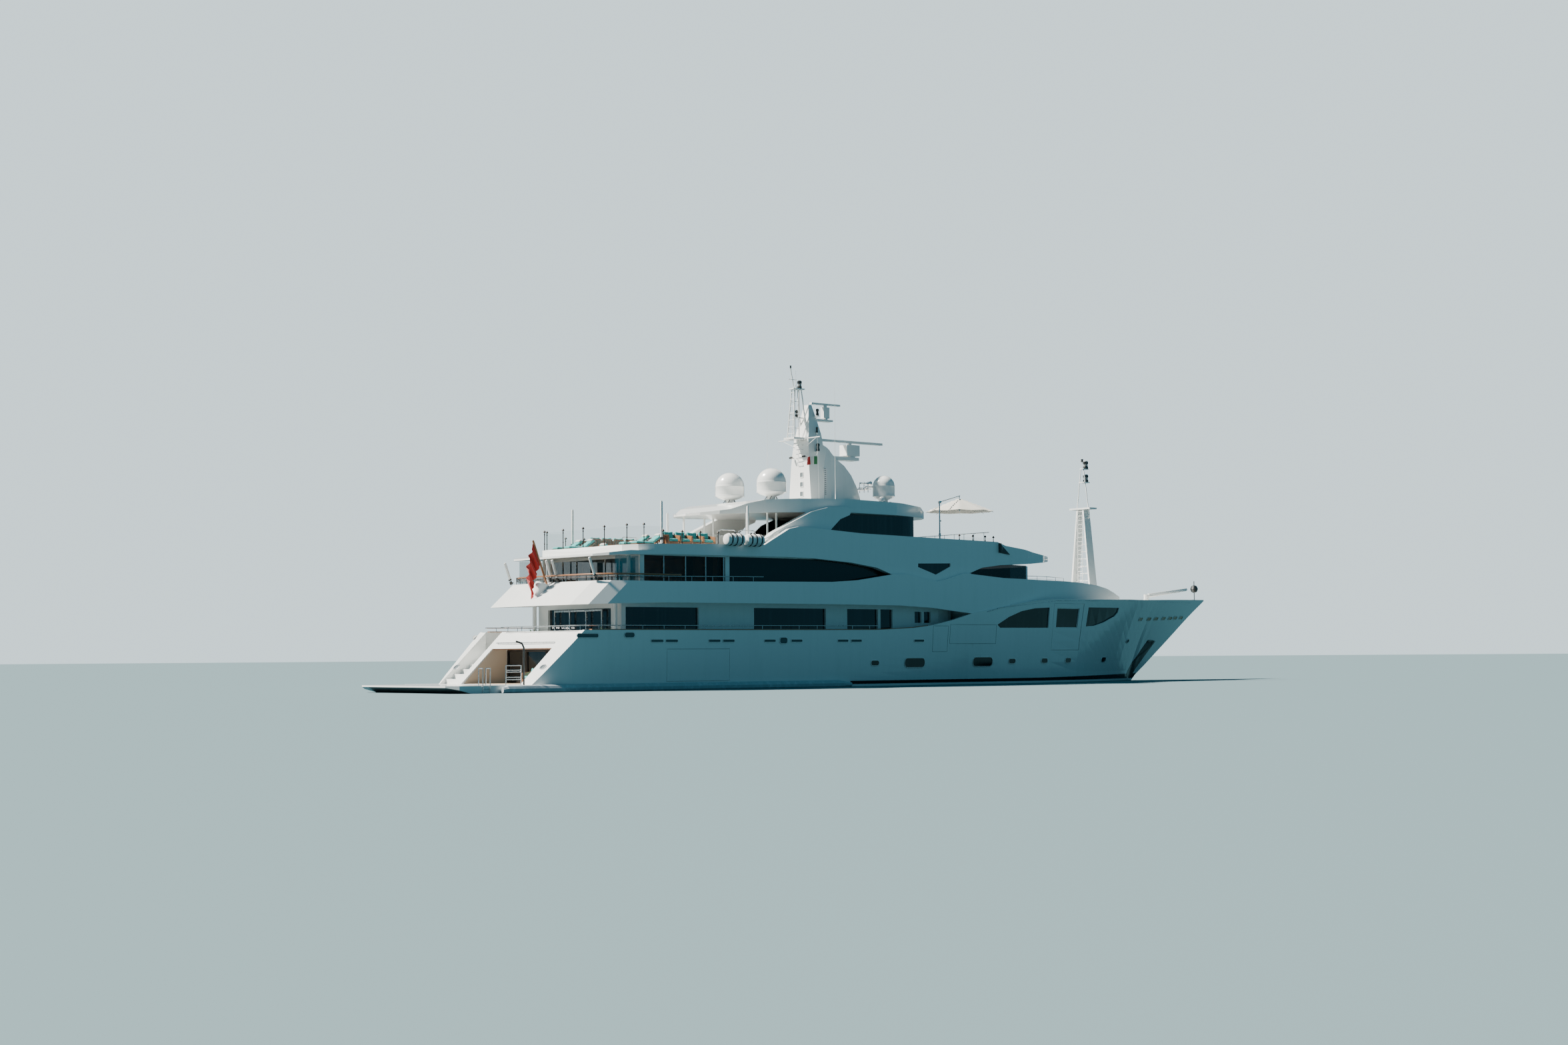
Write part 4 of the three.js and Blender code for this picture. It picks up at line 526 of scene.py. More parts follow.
def end():
    bpy.ops.object.mode_set(mode="OBJECT")


def select_whole():
    bpy.ops.mesh.select_all(action="SELECT")


def draw_out(step):
    """The selection extruded by a step in the model's metres."""
    bpy.ops.mesh.extrude_region_move(TRANSFORM_OT_translate={"value": step})


def face_out():
    """All faces of the closed mesh in hand turned to look outwards."""
    select_whole()
    bpy.ops.mesh.normals_make_consistent(inside=False)


def settle(piece):
    """The place goes into the mesh, and the object goes to the origin."""
    make_active(piece)
    bpy.ops.object.transform_apply(location=True, rotation=True, scale=True)
    return piece


def outwards(piece):
    begin(piece)
    select_whole()
    bpy.ops.mesh.remove_doubles(threshold=1e-5)
    face_out()
    end()
    return piece


def apply_modifier(piece, kind, **settings):
    make_active(piece)
    added = piece.modifiers.new(kind.lower(), kind)
    for key, value in settings.items():
        setattr(added, key, value)
    bpy.ops.object.modifier_apply(modifier=added.name)
    return piece


def soften(piece, width, segments=2, angle=35):
    """Every sharp edge rounded."""
    return apply_modifier(
        piece, "BEVEL", width=width * SCALE, segments=segments, limit_method="ANGLE",
        angle_limit=math.radians(angle), harden_normals=False,
    )


def keep(piece, name, material, body=YACHT, smooth=30):
    """A finished piece, or a list joined to one: its name, finish, shading and the body it rides on."""
    if isinstance(piece, list):
        piece = join(piece)
    piece.name = name
    piece.data.name = name
    if material is not None:
        piece.data.materials.clear()
        piece.data.materials.append(material)
    make_active(piece)
    bpy.ops.object.shade_smooth_by_angle(angle=math.radians(smooth))
    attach(piece, body)
    return piece


def block(low, high, round_off=0.0, segments=2):
    """A box between two corners, with its edges rounded."""
    middle = [(a + b) / 2 for a, b in zip(low, high)]
    size = [SCALE * (b - a) for a, b in zip(low, high)]
    clear()
    bpy.ops.mesh.primitive_cube_add(size=1, location=spot(*middle), scale=size)
    piece = settle(bpy.context.object)
    return soften(piece, round_off, segments) if round_off else piece


def slab(points, along, round_off=0.0, segments=2):
    """A flat shape of any outline, thickened along a vector."""
    clear()
    bpy.ops.mesh.primitive_circle_add(vertices=len(points), radius=1, fill_type="NGON")
    piece = bpy.context.object
    for vertex, point in zip(piece.data.vertices, points):
        vertex.co = spot(*point)
    begin(piece)
    select_whole()
    draw_out(spot(*along))
    face_out()
    end()
    return soften(piece, round_off, segments) if round_off else piece


def lathe(profile, centre=(0, 0, 0), axis=(0, 0, 1), steps=24):
    """A turned shape: a disc, drawn up ring by ring along its axis. The profile is (radius, height)."""
    clear()
    (first, base), rings = profile[0], profile[1:]
    bpy.ops.mesh.primitive_circle_add(
        vertices=steps, radius=first * SCALE, location=(0, 0, base * SCALE), fill_type="NGON"
    )
    piece = bpy.context.object
    settle(piece)
    begin(piece)
    select_whole()
    radius, height = first, base
    for ring_radius, ring_height in rings:
        draw_out((0, 0, SCALE * (ring_height - height)))
        ratio = ring_radius / radius
        bpy.ops.transform.resize(value=(ratio, ratio, 1), center_override=(0, 0, SCALE * ring_height))
        radius, height = ring_radius, ring_height
    face_out()
    end()
    turn = Vector((0, 0, 1)).rotation_difference(Vector(axis)).to_matrix().to_4x4()
    return turned(piece, Matrix.Translation(spot(*centre)) @ turn)


def rod(start, finish_at, radius, end_radius=None, sides=10):
    """A straight bar with its ends eased."""
    a, b = Vector(start), Vector(finish_at)
    length = (b - a).length
    last = radius if end_radius is None else end_radius
    ease = min(radius, last) * 0.25
    profile = [(radius - ease, 0), (radius, ease), (last, length - ease), (last - ease, length)]
    return lathe(profile, start, (b - a).normalized(), sides)


TUBE_ROUNDNESS = 2


def tube(points, radius):
    """A bent tube through points."""
    clear()
    bpy.ops.curve.primitive_bezier_curve_add(location=(0, 0, 0))
    piece = bpy.context.object
    shape = piece.data
    shape.splines.clear()
    line = shape.splines.new("POLY")
    line.points.add(len(points) - 1)
    for slot_point, point in zip(line.points, points):
        slot_point.co = (*spot(*point), 1)
    shape.dimensions = "3D"
    shape.bevel_depth = radius * SCALE
    shape.bevel_resolution = TUBE_ROUNDNESS
    shape.use_fill_caps = True
    make_active(piece)
    bpy.ops.object.convert(target="MESH")
    return outwards(bpy.context.object)


def duplicate(piece, *matrices):
    """A copy with its own mesh, moved by the matrices in turn."""
    copy = piece.copy()
    copy.data = piece.data.copy()
    bpy.context.collection.objects.link(copy)
    for matrix in matrices:
        copy.data.transform(matrix)
    return copy


def step_by(*ship):
    """A move in full-size metres, as a matrix."""
    return Matrix.Translation(spot(*ship))


def copies(piece, steps):
    """The piece and its copies at each ship-metre step from it."""
    return [piece] + [duplicate(piece, step_by(*step)) for step in steps]


def turned(piece, matrix):
    piece.data.transform(matrix)
    return piece


def moved(piece, step):
    return turned(piece, step_by(*step))


def join(*pieces):
    """Pieces as one. Lists are taken as they come."""
    flat = []
    for one in pieces:
        flat.extend(one if isinstance(one, list) else [one])
    clear()
    for one in flat:
        one.select_set(True)
    bpy.context.view_layer.objects.active = flat[0]
    bpy.ops.object.join()
    return bpy.context.object


MIRROR_Y = Matrix.Scale(-1, 4, (0, 1, 0))


def mirrored(piece):
    """The same piece on the other side of the yacht, facing out again."""
    other = duplicate(piece, MIRROR_Y)
    other.data.flip_normals()
    return other


def both_sides(piece, name, material, **settings):
    """A starboard piece, or a list joined to one, and its port twin, both kept."""
    if isinstance(piece, list):
        piece = join(piece)
    twin = mirrored(piece)
    return (
        keep(piece, name + "_starboard", material, **settings),
        keep(twin, name + "_port", material, **settings),
    )


bpy.context.view_layer.update()


FORWARD, TO_PORT, DOWN, UP = Vector((1, 0, 0)), Vector((0, 1, 0)), Vector((0, 0, -1)), Vector((0, 0, 1))


def meet(node_name, start, way):
    """Where a line first meets a node, in ship metres, and the way the surface faces there."""
    found, where, facing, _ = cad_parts[node_name].ray_cast(spot(*start), way)
    if not found:
        raise RuntimeError(f"nothing of {node_name} from {start}")
    return where / SCALE, facing


def skin(x, z, node_name="hull", reach=8):
    """A point on a node's starboard side at x and z, and the way the surface faces, in ship metres."""
    return meet(node_name, (x, -reach, z), TO_PORT)


def top_of(x, y, node_name="hull", start=9):
    """The height of a node under a point, in ship metres."""
    return meet(node_name, (x, y, start), DOWN)[0].z


def laid_on(where, facing, lift):
    """A matrix that lays a piece made flat on XY against a face, its own +Y up and +Z out."""
    along = UP.cross(facing).normalized()
    turn = Matrix((along, facing.cross(along), facing)).transposed().to_4x4()
    return Matrix.Translation(SCALE * (where + lift * facing)) @ turn


def seated(x, z, node_name="hull", lift=0.0):
    """A matrix that lays a flat piece against a node's starboard side."""
    return laid_on(*skin(x, z, node_name), lift)


def aft_face(y, z, node_name, lift=0.0, start=-20):
    """A matrix that lays a flat piece against a face that looks aft."""
    return laid_on(*meet(node_name, (start, y, z), FORWARD), lift)


def ahead(y, z, node_name="hull", start=-45):
    """How far aft a node is first met by a line that looks forward, in ship metres."""
    return meet(node_name, (start, y, z), FORWARD)[0].x


def ship_box(node_name):
    """A node's low and high corners, in ship metres."""
    return (Vector(corner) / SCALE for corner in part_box(node_name))


def rounded(width, height, corner, steps=5):
    """The outline of a rectangle with round corners, flat on XY."""
    points = []
    for quarter, (sx, sy) in enumerate(((1, 1), (-1, 1), (-1, -1), (1, -1))):
        for step in range(steps + 1):
            angle = math.pi / 2 * (quarter + step / steps)
            x = sx * (width / 2 - corner) + corner * math.cos(angle)
            y = sy * (height / 2 - corner) + corner * math.sin(angle)
            points.append((x, y, 0))
    return points


def rimmed(points, rim, depth, sunk, rim_finish, pane_finish):
    """A raised rim with a lower pane inside it, from a flat outline."""
    piece = slab(points, (0, 0, depth))
    piece.data.materials.append(rim_finish)
    piece.data.materials.append(pane_finish)
    highest = max(vertex.co.z for vertex in piece.data.vertices)
    mesh = begin(piece)
    pick(piece, mesh, mesh.faces, lambda face: all(v.co.z > highest - 1e-5 for v in face.verts))
    bpy.ops.mesh.inset(thickness=rim * SCALE)
    draw_out((0, 0, -sunk * SCALE))
    mesh = bmesh.from_edit_mesh(piece.data)
    for face in mesh.faces:
        face.material_index = 1 if face.select else 0
    bmesh.update_edit_mesh(piece.data)
    end()
    return piece


# ---- Hull: portlights, bulwark openings, scuppers, hatch seams, the knuckle, fairleads

PORTLIGHTS = {
    "small": (0.7, 0.36, 0.17, ((-7.33, 1.42), (4.87, 1.46), (8.15, 1.47), (10.9, 1.48), (15.9, 1.5))),
    "large": (1.78, 0.62, 0.26, ((-3.97, 1.42), (2.15, 1.44))),
}
BULWARK_SLOTS = (
    (-24.22, -23.34), (-23.22, -22.31), (-20.18, -19.26), (-19.14, -18.24), (-16.08, -15.17),
    (-14.04, -13.11), (-10.41, -9.49), (-9.35, -8.41), (-4.15, -3.18),
)
SLOT_LEVELS, SLOT_WIDTH = (2.68, 2.87), 0.9
# x, z, width, height and corner radius; the last is the long slot on the quarter
ROUND_OPENINGS = (
    (-14.59, 2.79, 0.62, 0.42, 0.16), (-25.69, 3.1, 0.74, 0.34, 0.16), (-28.475, 3.065, 1.45, 0.27, 0.12),
)
BOW_SCUPPERS = (20.2, 21.6, 22.7, 23.9, 25.0, 25.85, 26.9)
SCUPPER_SIZE, SCUPPER_Z, SCUPPER_RISE = (0.62, 0.3), 4.3, 0.03
HATCHES = ((-2.46, -1.14, 2.09, 3.7), (-0.96, 3.26, 2.59, 3.79))  # x0, x1, z0, z1
# Where the foredeck bulwark meets the flared side, as (x, z)
KNUCKLE = (
    (2.3, 4.63), (3.6, 4.9), (5.9, 5.25), (9.3, 5.42), (13, 5.47), (18, 5.52), (23, 5.55), (27.5, 5.56),
)
PROUD = 0.004  # how far a fitting's back lies off the plating


def opening(width, height, corner, pane, rim=0.035, depth=0.03, sunk=0.022):
    return rimmed(rounded(width, height, corner), rim, depth, sunk, STAINLESS, pane)


def laid(piece, places, node_name="hull", lift=PROUD):
    """One piece made flat, laid on a node's starboard side at each (x, z), as one."""
    made = [duplicate(piece, seated(x, z, node_name, lift)) for x, z in places]
    bpy.data.objects.remove(piece)
    return join(made)


def fit_portlights():
    for size, (width, height, corner, places) in PORTLIGHTS.items():
        both_sides(laid(opening(width, height, corner, DARK_GLASS), places), "portlights_" + size, None)


def fit_bulwark_openings():
    low, high = SLOT_LEVELS
    slot = opening(SLOT_WIDTH, high - low, 0.09, OPENING_SHADE, 0.03, 0.025, 0.02)
    slots = laid(slot, [((a + b) / 2, (low + high) / 2) for a, b in BULWARK_SLOTS])
    rounds = [
        laid(opening(width, height, corner, OPENING_SHADE, 0.04), [(x, z)])
        for x, z, width, height, corner in ROUND_OPENINGS
    ]
    both_sides([slots, *rounds], "bulwark_openings", None)


def fit_bow_scuppers():
    places = [(x, SCUPPER_Z + SCUPPER_RISE * n) for n, x in enumerate(BOW_SCUPPERS)]
    both_sides(laid(opening(*SCUPPER_SIZE, 0.1, WARM_TIMBER), places), "bow_scuppers", None)


def hatch_seam(x0, x1, z0, z1, radius=0.008, steps=5):
    """A thin line round a flush hatch in the hull's starboard side."""
    corners = [Vector(corner) for corner in ((x0, z0), (x1, z0), (x1, z1), (x0, z1), (x0, z0))]
    line = [a.lerp(b, step / steps) for a, b in zip(corners, corners[1:]) for step in range(steps)]
    return tube([tuple(skin(*place)[0]) for place in [*line, corners[-1]]], radius)


def draw_hull_seams():
    """Flush hatches show as dark seams."""
    both_sides([hatch_seam(*hatch) for hatch in HATCHES], "hull_hatch_seams", SEAM_BLACK)


def run_hull_knuckle():
    """The bright line of the knuckle. It skips a place where a door leaves no hull."""
    points = []
    for x, z in KNUCKLE:
        try:
            where, facing = skin(x, z)
        except RuntimeError:
            continue
        points.append(tuple(where + 0.01 * facing))
    both_sides(tube(points, 0.022), "foredeck_knuckle", STAINLESS)


def fit_fairleads():
    eye = opening(0.46, 0.34, 0.17, OPENING_SHADE, 0.06, 0.05, 0.04)
    both_sides(laid(eye, [(19.24, 2.78)]), "bow_fairlead", None)


fit_portlights()
fit_bulwark_openings()
fit_bow_scuppers()
draw_hull_seams()
run_hull_knuckle()
fit_fairleads()


# ---- Cap rails on the bulwarks


def ribbon(centres, width, thickness):
    """A flat capping that follows centre points, each (x, y, z), level across."""
    half = width / 2
    count = len(centres)
    clear()
    bpy.ops.mesh.primitive_grid_add(x_subdivisions=count - 1, y_subdivisions=1, size=2)
    piece = settle(bpy.context.object)
    columns = sorted({round(v.co.x, 5) for v in piece.data.vertices})
    for vertex in piece.data.vertices:
        n = columns.index(round(vertex.co.x, 5))
        before = Vector(centres[max(n - 1, 0)])
        after = Vector(centres[min(n + 1, count - 1)])
        across = Vector((0, 0, 1)).cross(after - before)
        across.z = 0
        across.normalize()
        away = half if vertex.co.y > 0 else -half
        vertex.co = spot(*(Vector(centres[n]) + across * away))
    begin(piece)
    select_whole()
    draw_out((0, 0, SCALE * thickness))
    end()
    outwards(piece)
    return soften(piece, min(width, thickness) * 0.3)


def hull_half_at(x, z):
    """The hull's half width, or that of the balcony door where it fills the side."""
    on_door = 8.8 < x < 12.1 and z < 5.25
    where, _ = skin(x, z, "balcony_door_starboard" if on_door else "hull")
    return abs(where[1])


def cap_bulwarks():
    """Varnished teak on the main-deck bulwark and a white cap on the bow's."""
    aft = [(x, hull_half_at(x, 3.0) - 0.11) for x in (-28.2 + step * 1.15 for step in range(23))]
    bow = [
        (x, hull_half_at(x, 4.8 if x < 7 else 5.1 if x < 12.1 else 5.26) - 0.05)
        for x in (4.6 + step * 1.32 for step in range(19))
    ]
    for line, width, thickness, name, material in (
        (aft, 0.3, 0.05, "main_deck_cap_rail", VARNISH), (bow, 0.24, 0.04, "foredeck_cap_rail", WHITE_PAINT),
    ):
        centres = [(x, -half, top_of(x, -half)) for x, half in line if half > 0.2]
        both_sides(ribbon(centres, width, thickness), name, material)


cap_bulwarks()


# ---- Mast and hardtop: rungs, louvres, lamps, horns, cameras, whip antennas, the signal yard and its flag


def light_lamp(x, y, z, radius, height):
    """A navigation light: a black can with a finned collar and a lens band."""
    profile = [
        (radius * 0.7, 0), (radius, 0.02), (radius, height * 0.3), (radius * 0.78, height * 0.34),
        (radius * 0.78, height * 0.62), (radius, height * 0.66), (radius, height * 0.9),
        (radius * 0.55, height),
    ]
    return lathe(profile, (x, y, z), steps=16)


def ladder(foot, head, width, rung_gap=0.3, rail=0.022):
    """Two stiles and rungs between two points, the stiles apart across the yacht."""
    a, b = Vector(foot), Vector(head)
    across = Vector((0, width / 2, 0))
    parts = [rod(a + s * across, b + s * across, rail) for s in (-1, 1)]
    count = int((b - a).length / rung_gap)
    rung = rod(a - across, a + across, rail * 0.7, sides=6)
    step = (b - a) / count
    moved(rung, step * 0.5)
    parts.extend(copies(rung, [tuple(step * n) for n in range(1, count)]))
    return join(parts)


def whip(foot, height, radius=0.014):
    """A whip antenna with a sprung base."""
    x, y, z = foot
    profile = [
        (radius * 3, z), (radius * 3, z + 0.06), (radius * 1.8, z + 0.12), (radius * 1.8, z + 0.4),
        (radius, z + 0.46), (radius * 0.35, z + height),
    ]
    return lathe(profile, (x, y, 0), steps=8)


def build_mast_lamps():
    """Black lamps on brackets at the mast's sides, its head and its aft frame."""
    beside = [
        (-8.05, -0.98, 14.66, 0.11, 0.5), (-7.75, -0.6, 16.95, 0.1, 0.44), (-7.9, -0.72, 15.86, 0.07, 0.36),
    ]
    both_sides([light_lamp(*lamp) for lamp in beside], "mast_side_lamps", BLACK_PAINT_AND_POCKET_SHADE)
    middle = [(-8.95, 0, 16.84, 0.1, 0.44), (-8.7, 0, 18.62, 0.15, 0.54), (-9.42, 0, 19.88, 0.06, 0.18)]
    keep([light_lamp(*lamp) for lamp in middle], "mast_lamps", BLACK_PAINT_AND_POCKET_SHADE)
    brackets = []
    for x, y, z, radius, _ in beside:
        root, _ = skin(x, z - 0.05, "mast", reach=3)
        brackets.append(
            block((x - radius, y - radius, z - 0.05), (x + radius, root.y + 0.05, z - 0.005), 0.01)
        )
        brackets.append(rod((x, root.y + 0.02, z - 0.25), (x, y, z - 0.05), 0.02, sides=6))
    both_sides(brackets, "mast_lamp_brackets", WHITE_PAINT)
    keep(block((-9.1, -0.1, 16.76), (-8.2, 0.1, 16.83), 0.012), "mast_aft_bracket", WHITE_PAINT)


def build_mast_access():
    """A ladder up the mast's aft face, hatches with louvres below it, and a tall louvre in each side."""
    hoop = [(-0.24, 0, 0), (-0.24, 0, 0.16), (0.24, 0, 0.16), (0.24, 0, 0)]
    rungs = [turned(tube(hoop, 0.02), aft_face(0, 13.95 + step * 0.28, "mast")) for step in range(6)]
    keep(rungs, "mast_rungs", STAINLESS)
    hatches = []
    for z in (13.2, 12.6, 12.0):
        hatch = rimmed(rounded(0.34, 0.34, 0.04), 0.035, 0.03, 0.018, WHITE_PAINT, OPENING_SHADE)
        hatches.append(turned(hatch, aft_face(-0.17, z, "mast", 0.002)))
    keep(hatches, "mast_vents", None)
    parts = [rimmed(rounded(0.42, 1.7, 0.05), 0.04, 0.035, 0.02, WHITE_PAINT, OPENING_SHADE)]
    for y in (-0.76 + row * 0.122 for row in range(13)):
        blade = [(-0.17, y, 0.012), (0.17, y, 0.012), (0.17, y + 0.07, 0.034), (-0.17, y + 0.07, 0.034)]
        parts.append(slab(blade, (0, 0, 0.008)))
    both_sides(turned(join(parts), seated(-7.4, 12.8, "mast", 0.002)), "mast_louvres", None)
    cameras = []
    for y in (-0.62, 0.62):
        eye = lathe(
            [(0.05, -0.12), (0.07, -0.1), (0.07, 0.1), (0.05, 0.12), (0.045, 0.1)], (-8.92, y, 14.32),
            (-1, 0, -0.15), 12,
        )
        cameras.append(join(eye, rod((-8.6, y, 14.3), (-8.86, y, 14.32), 0.02, sides=6)))
    keep(cameras, "mast_cameras", BLACK_PAINT_AND_POCKET_SHADE)


HORNS = ((-0.5, 12.65, 0.75, 0.15), (-0.12, 12.9, 0.9, 0.18), (0.3, 12.62, 0.62, 0.13))  # y, z, length, bell


def horn(mouth, length, bell):
    """A trumpet horn with a flared bell facing forward."""
    profile = [
        (0.05, -length), (0.07, -length + 0.03), (0.045, -length + 0.1), (0.05, -length * 0.5),
        (bell * 0.5, -length * 0.2), (bell, 0), (bell * 0.93, 0.012), (bell * 0.42, -length * 0.18),
        (0.03, -length * 0.5),
    ]
    return lathe(profile, mouth, axis=(1, 0, 0), steps=16)


def build_horns():
    """The cluster of horns and hailers on a frame forward of the mast."""
    parts = [horn((-2.9, y, z), length, bell) for y, z, length, bell in HORNS]
    rail = tube([(-3.95, -0.6, 12.5), (-3.3, -0.6, 12.5), (-3.3, 0.5, 12.5), (-3.95, 0.5, 12.5)], 0.03)
    posts = [rod((-3.45, y, 12.3), (-3.45, y, 13.0), 0.025) for y, *_ in HORNS]
    keep(parts, "fog_horns", STAINLESS)
    keep(join(rail, posts, rod((-4.4, 0, 12.5), (-3.3, 0, 12.5), 0.05)), "horn_frame", STAINLESS)


def build_antennas():
    """Whips on the hardtop and the mast."""
    foot = top_of(-8.65, -3.3, "hardtop", 14)
    whips = [whip((-8.65, side * 3.3, foot), 18.4 - foot) for side in (-1, 1)]
    whips.append(whip((-9.2, -0.25, 18.62), 1.1, 0.012))
    keep(whips, "whip_antennas", WHITE_PAINT)


def build_camera_domes():
    """Small camera and receiver domes on short stalks."""
    domes = []
    for x, y, radius in ((-3.9, -2.3, 0.2), (-1.6, 0.9, 0.22), (-4.9, 2.2, 0.2)):
        cap = [(radius * math.cos(a), 0.34 + radius * math.sin(a)) for a in (0, 0.4, 0.8, 1.15, 1.45)]
        profile = [(radius * 0.4, -0.02), (radius * 0.4, 0.2), (radius * 0.95, 0.24), *cap]
        domes.append(lathe(profile, (x, y, top_of(x, y, "hardtop", 14)), steps=18))
    keep(domes, "camera_domes", WHITE_PAINT)


COURTESY_FLAG = {"x": -8.75, "y": -1.75, "z": 13.75, "length": 0.84, "hoist": 0.5}


def build_courtesy_hoist():
    """The signal yard across the mast, with a small tricolour flying from its starboard halyard."""
    yard = rod((-8.75, -2.0, 15.46), (-8.75, 2.0, 15.46), 0.035, 0.03)
    stays = [rod((-8.75, side * 1.7, 15.46), (-8.65, side * 0.6, 15.0), 0.015, sides=6) for side in (-1, 1)]
    keep(join(yard, stays), "signal_yard", WHITE_PAINT)
    x, y, z = (COURTESY_FLAG[key] for key in "xyz")
    halyards = [rod((x, side * y, 15.46), (x + 0.1, side * y, 11.4), 0.006, sides=5) for side in (-1, 1)]
    keep(halyards, "signal_halyards", WHITE_PAINT)
    clear()
    bpy.ops.mesh.primitive_grid_add(x_subdivisions=24, y_subdivisions=10, size=1)
    flag = bpy.context.object
    length, hoist = COURTESY_FLAG["length"], COURTESY_FLAG["hoist"]
    for vertex in flag.data.vertices:
        along, up = vertex.co.x + 0.5, vertex.co.y + 0.5
        wave = 0.05 * along * math.sin(9 * along + 1.5 * up)
        vertex.co = spot(x - 0.02 - along * length * 0.985, y + wave, z + up * hoist - 0.1 * along * along)
    apply_modifier(flag, "SOLIDIFY", thickness=0.002, offset=0)
    for finish_one in (FLAG_GREEN, PALE_CLOTH, FLAG_RED):
        flag.data.materials.append(finish_one)
    for face in flag.data.polygons:
        gone = (x - face.center.x / SCALE) / length
        face.material_index = min(2, int(gone * 3))
    keep(flag, "courtesy_flag", None, smooth=60)


build_mast_lamps()
build_mast_access()
build_horns()
build_antennas()
build_camera_domes()
build_courtesy_hoist()


DOMES = (
    ("dome_aft_starboard", -12.7, -2.05, 0.88), ("dome_aft_port", -12.7, 2.05, 0.88),
    ("dome_forward", -3.0, -1.5, 0.68),
)


# ---- Foremast: a ladder and black lamps


def dress_foremast():
    lamps = ((17.55, 0, 13.93, 0.19, 0.56), (17.55, 0, 14.88, 0.19, 0.56), (17.2, 0, 15.35, 0.09, 0.22))
    keep([light_lamp(*lamp) for lamp in lamps], "foremast_lamps", BLACK_PAINT_AND_POCKET_SHADE)
    keep(ladder((16.82, 0, 6.3), (16.92, 0, 12.0), 0.42), "foremast_ladder", WHITE_PAINT)


dress_foremast()


# ---- Domes: a smooth cap on a short skirt, drawn in to a neck between black brackets


def build_dome(name, x, y, radius):
    _, high = ship_box(name)
    seat = top_of(x, y, "hardtop", 14) - 0.01
    wide, top = radius * 1.03, high.z
    middle = top - radius
    cap = [
        (wide * math.cos(a), middle + radius * math.sin(a)) for a in (
            0.15, 0.3, 0.46, 0.62, 0.78, 0.94, 1.1, 1.24, 1.37, 1.48, 1.545,
        )
    ]
    skirt = middle - radius * (0.95 if "forward" in name else 0.66)
    profile = [
        (0.34, seat), (0.34, seat + 0.06), (0.22, seat + 0.1), (0.26, skirt - 0.26),
        (wide * 0.45, skirt - 0.24), (wide * 0.8, skirt - 0.13), (wide * 0.97, skirt - 0.03),
        (wide * 1.02, skirt - 0.02), (wide * 1.02, skirt + 0.015), (wide, skirt + 0.03),
        (wide, middle - 0.02), (wide * 1.008, middle - 0.01), (wide * 1.008, middle + 0.01),
        (wide, middle + 0.02),
        *cap,
    ]
    shell = keep(lathe(profile, (x, y, 0), steps=48), name + "_shell", WHITE_PAINT, smooth=50)
    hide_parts(name)
    struts = []
    for step in range(6):
        turn = math.pi * (step + 0.5) / 3
        out = wide * 0.52
        foot = (x + out * math.cos(turn), y + out * math.sin(turn), seat)
        head = (x + out * 0.62 * math.cos(turn + 0.5), y + out * 0.62 * math.sin(turn + 0.5), skirt - 0.2)
        struts += [
            rod(foot, head, 0.022, sides=6),
            lathe([(0.05, 0), (0.06, 0.01), (0.06, 0.05), (0.03, 0.06)], foot, steps=8),
        ]
    keep(struts, name + "_brackets", BLACK_PAINT_AND_POCKET_SHADE)


for name, x, y, radius in DOMES:
    build_dome(name, x, y, radius)


# ---- Sundeck: glass rails between dark capped posts, white poles, rafts under guards

RAIL_Y = 4.93
SIDE_POSTS = (-24.34, -23.0, -21.66, -20.36, -19.06, -17.8, -16.6)
AFT_POSTS = ((-25.1, 0), (-25.08, 2.1), (-25.0, 4.2))
FORWARD_POSTS = ((0.5, 4.75), (1.75, 4.7), (3.0, 4.55), (4.0, 4.3))
OVER_WING = 9.6  # a height over the sundeck wing, from where rays look down
PANE_GAP = 0.06  # under the glass
POST_HEIGHT = 1.2
FORWARD_HEAD = 9.55


def capped_post(height=POST_HEIGHT):
    """A slim dark post on a foot plate, with clamps for the glass and an arrow-shaped cap."""
    profile = [
        (0.07, 0), (0.07, 0.015), (0.028, 0.03), (0.026, height * 0.3), (0.04, height * 0.31),
        (0.04, height * 0.35), (0.026, height * 0.36), (0.026, height * 0.76), (0.04, height * 0.77),
        (0.04, height * 0.81), (0.026, height * 0.82), (0.026, height - 0.13), (0.085, height - 0.12),
        (0.085, height - 0.09), (0.02, height),
    ]
    return lathe(profile, steps=10)


def glass_pane(start, stop, low, high):
    """A thin upright pane between two points of the rail line, with eased edges."""
    (ax, ay), (bx, by) = start, stop
    length = math.hypot(bx - ax, by - ay)
    pane = block((0.05, -0.006, low), (length - 0.05, 0.006, high), 0.004, 1)
    return moved(turned(pane, Matrix.Rotation(math.atan2(by - ay, bx - ax), 4, "Z")), (ax, ay, 0))


def on_wing(x, y):
    """Height of the sundeck wing's upper face."""
    return top_of(x, y, "sundeck_wing", OVER_WING)


def build_balustrade():
    line = [(x, -y) for x, y in AFT_POSTS] + [(x, -RAIL_Y) for x in SIDE_POSTS]
    ahead_line = [(x, -y) for x, y in FORWARD_POSTS]
    post = capped_post()
    parts = [duplicate(post, step_by(*place, on_wing(*place))) for place in line]
    for place in ahead_line:
        foot = on_wing(*place)
        parts.append(moved(capped_post(FORWARD_HEAD - foot), (*place, foot)))
    bpy.data.objects.remove(post)
    panes = []
    for start, stop in zip(line, line[1:]):
        foot = max(on_wing(*start), on_wing(*stop))
        panes.append(glass_pane(start, stop, foot + PANE_GAP, foot + POST_HEIGHT * 0.86))
    for start, stop in zip(ahead_line, ahead_line[1:]):
        foot = max(on_wing(*start), on_wing(*stop))
        panes.append(glass_pane(start, stop, foot + PANE_GAP, FORWARD_HEAD - 0.16))
    posts, _ = both_sides(parts, "rail_posts", DARK_BRONZE)
    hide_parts("sundeck_rail")
    both_sides(panes, "rail_glass", SCREEN_GLASS)


LIGHT_POLES = (("aft", -22.8, -4.5, 10.75), ("forward", -16.1, -3.97, 10.75))


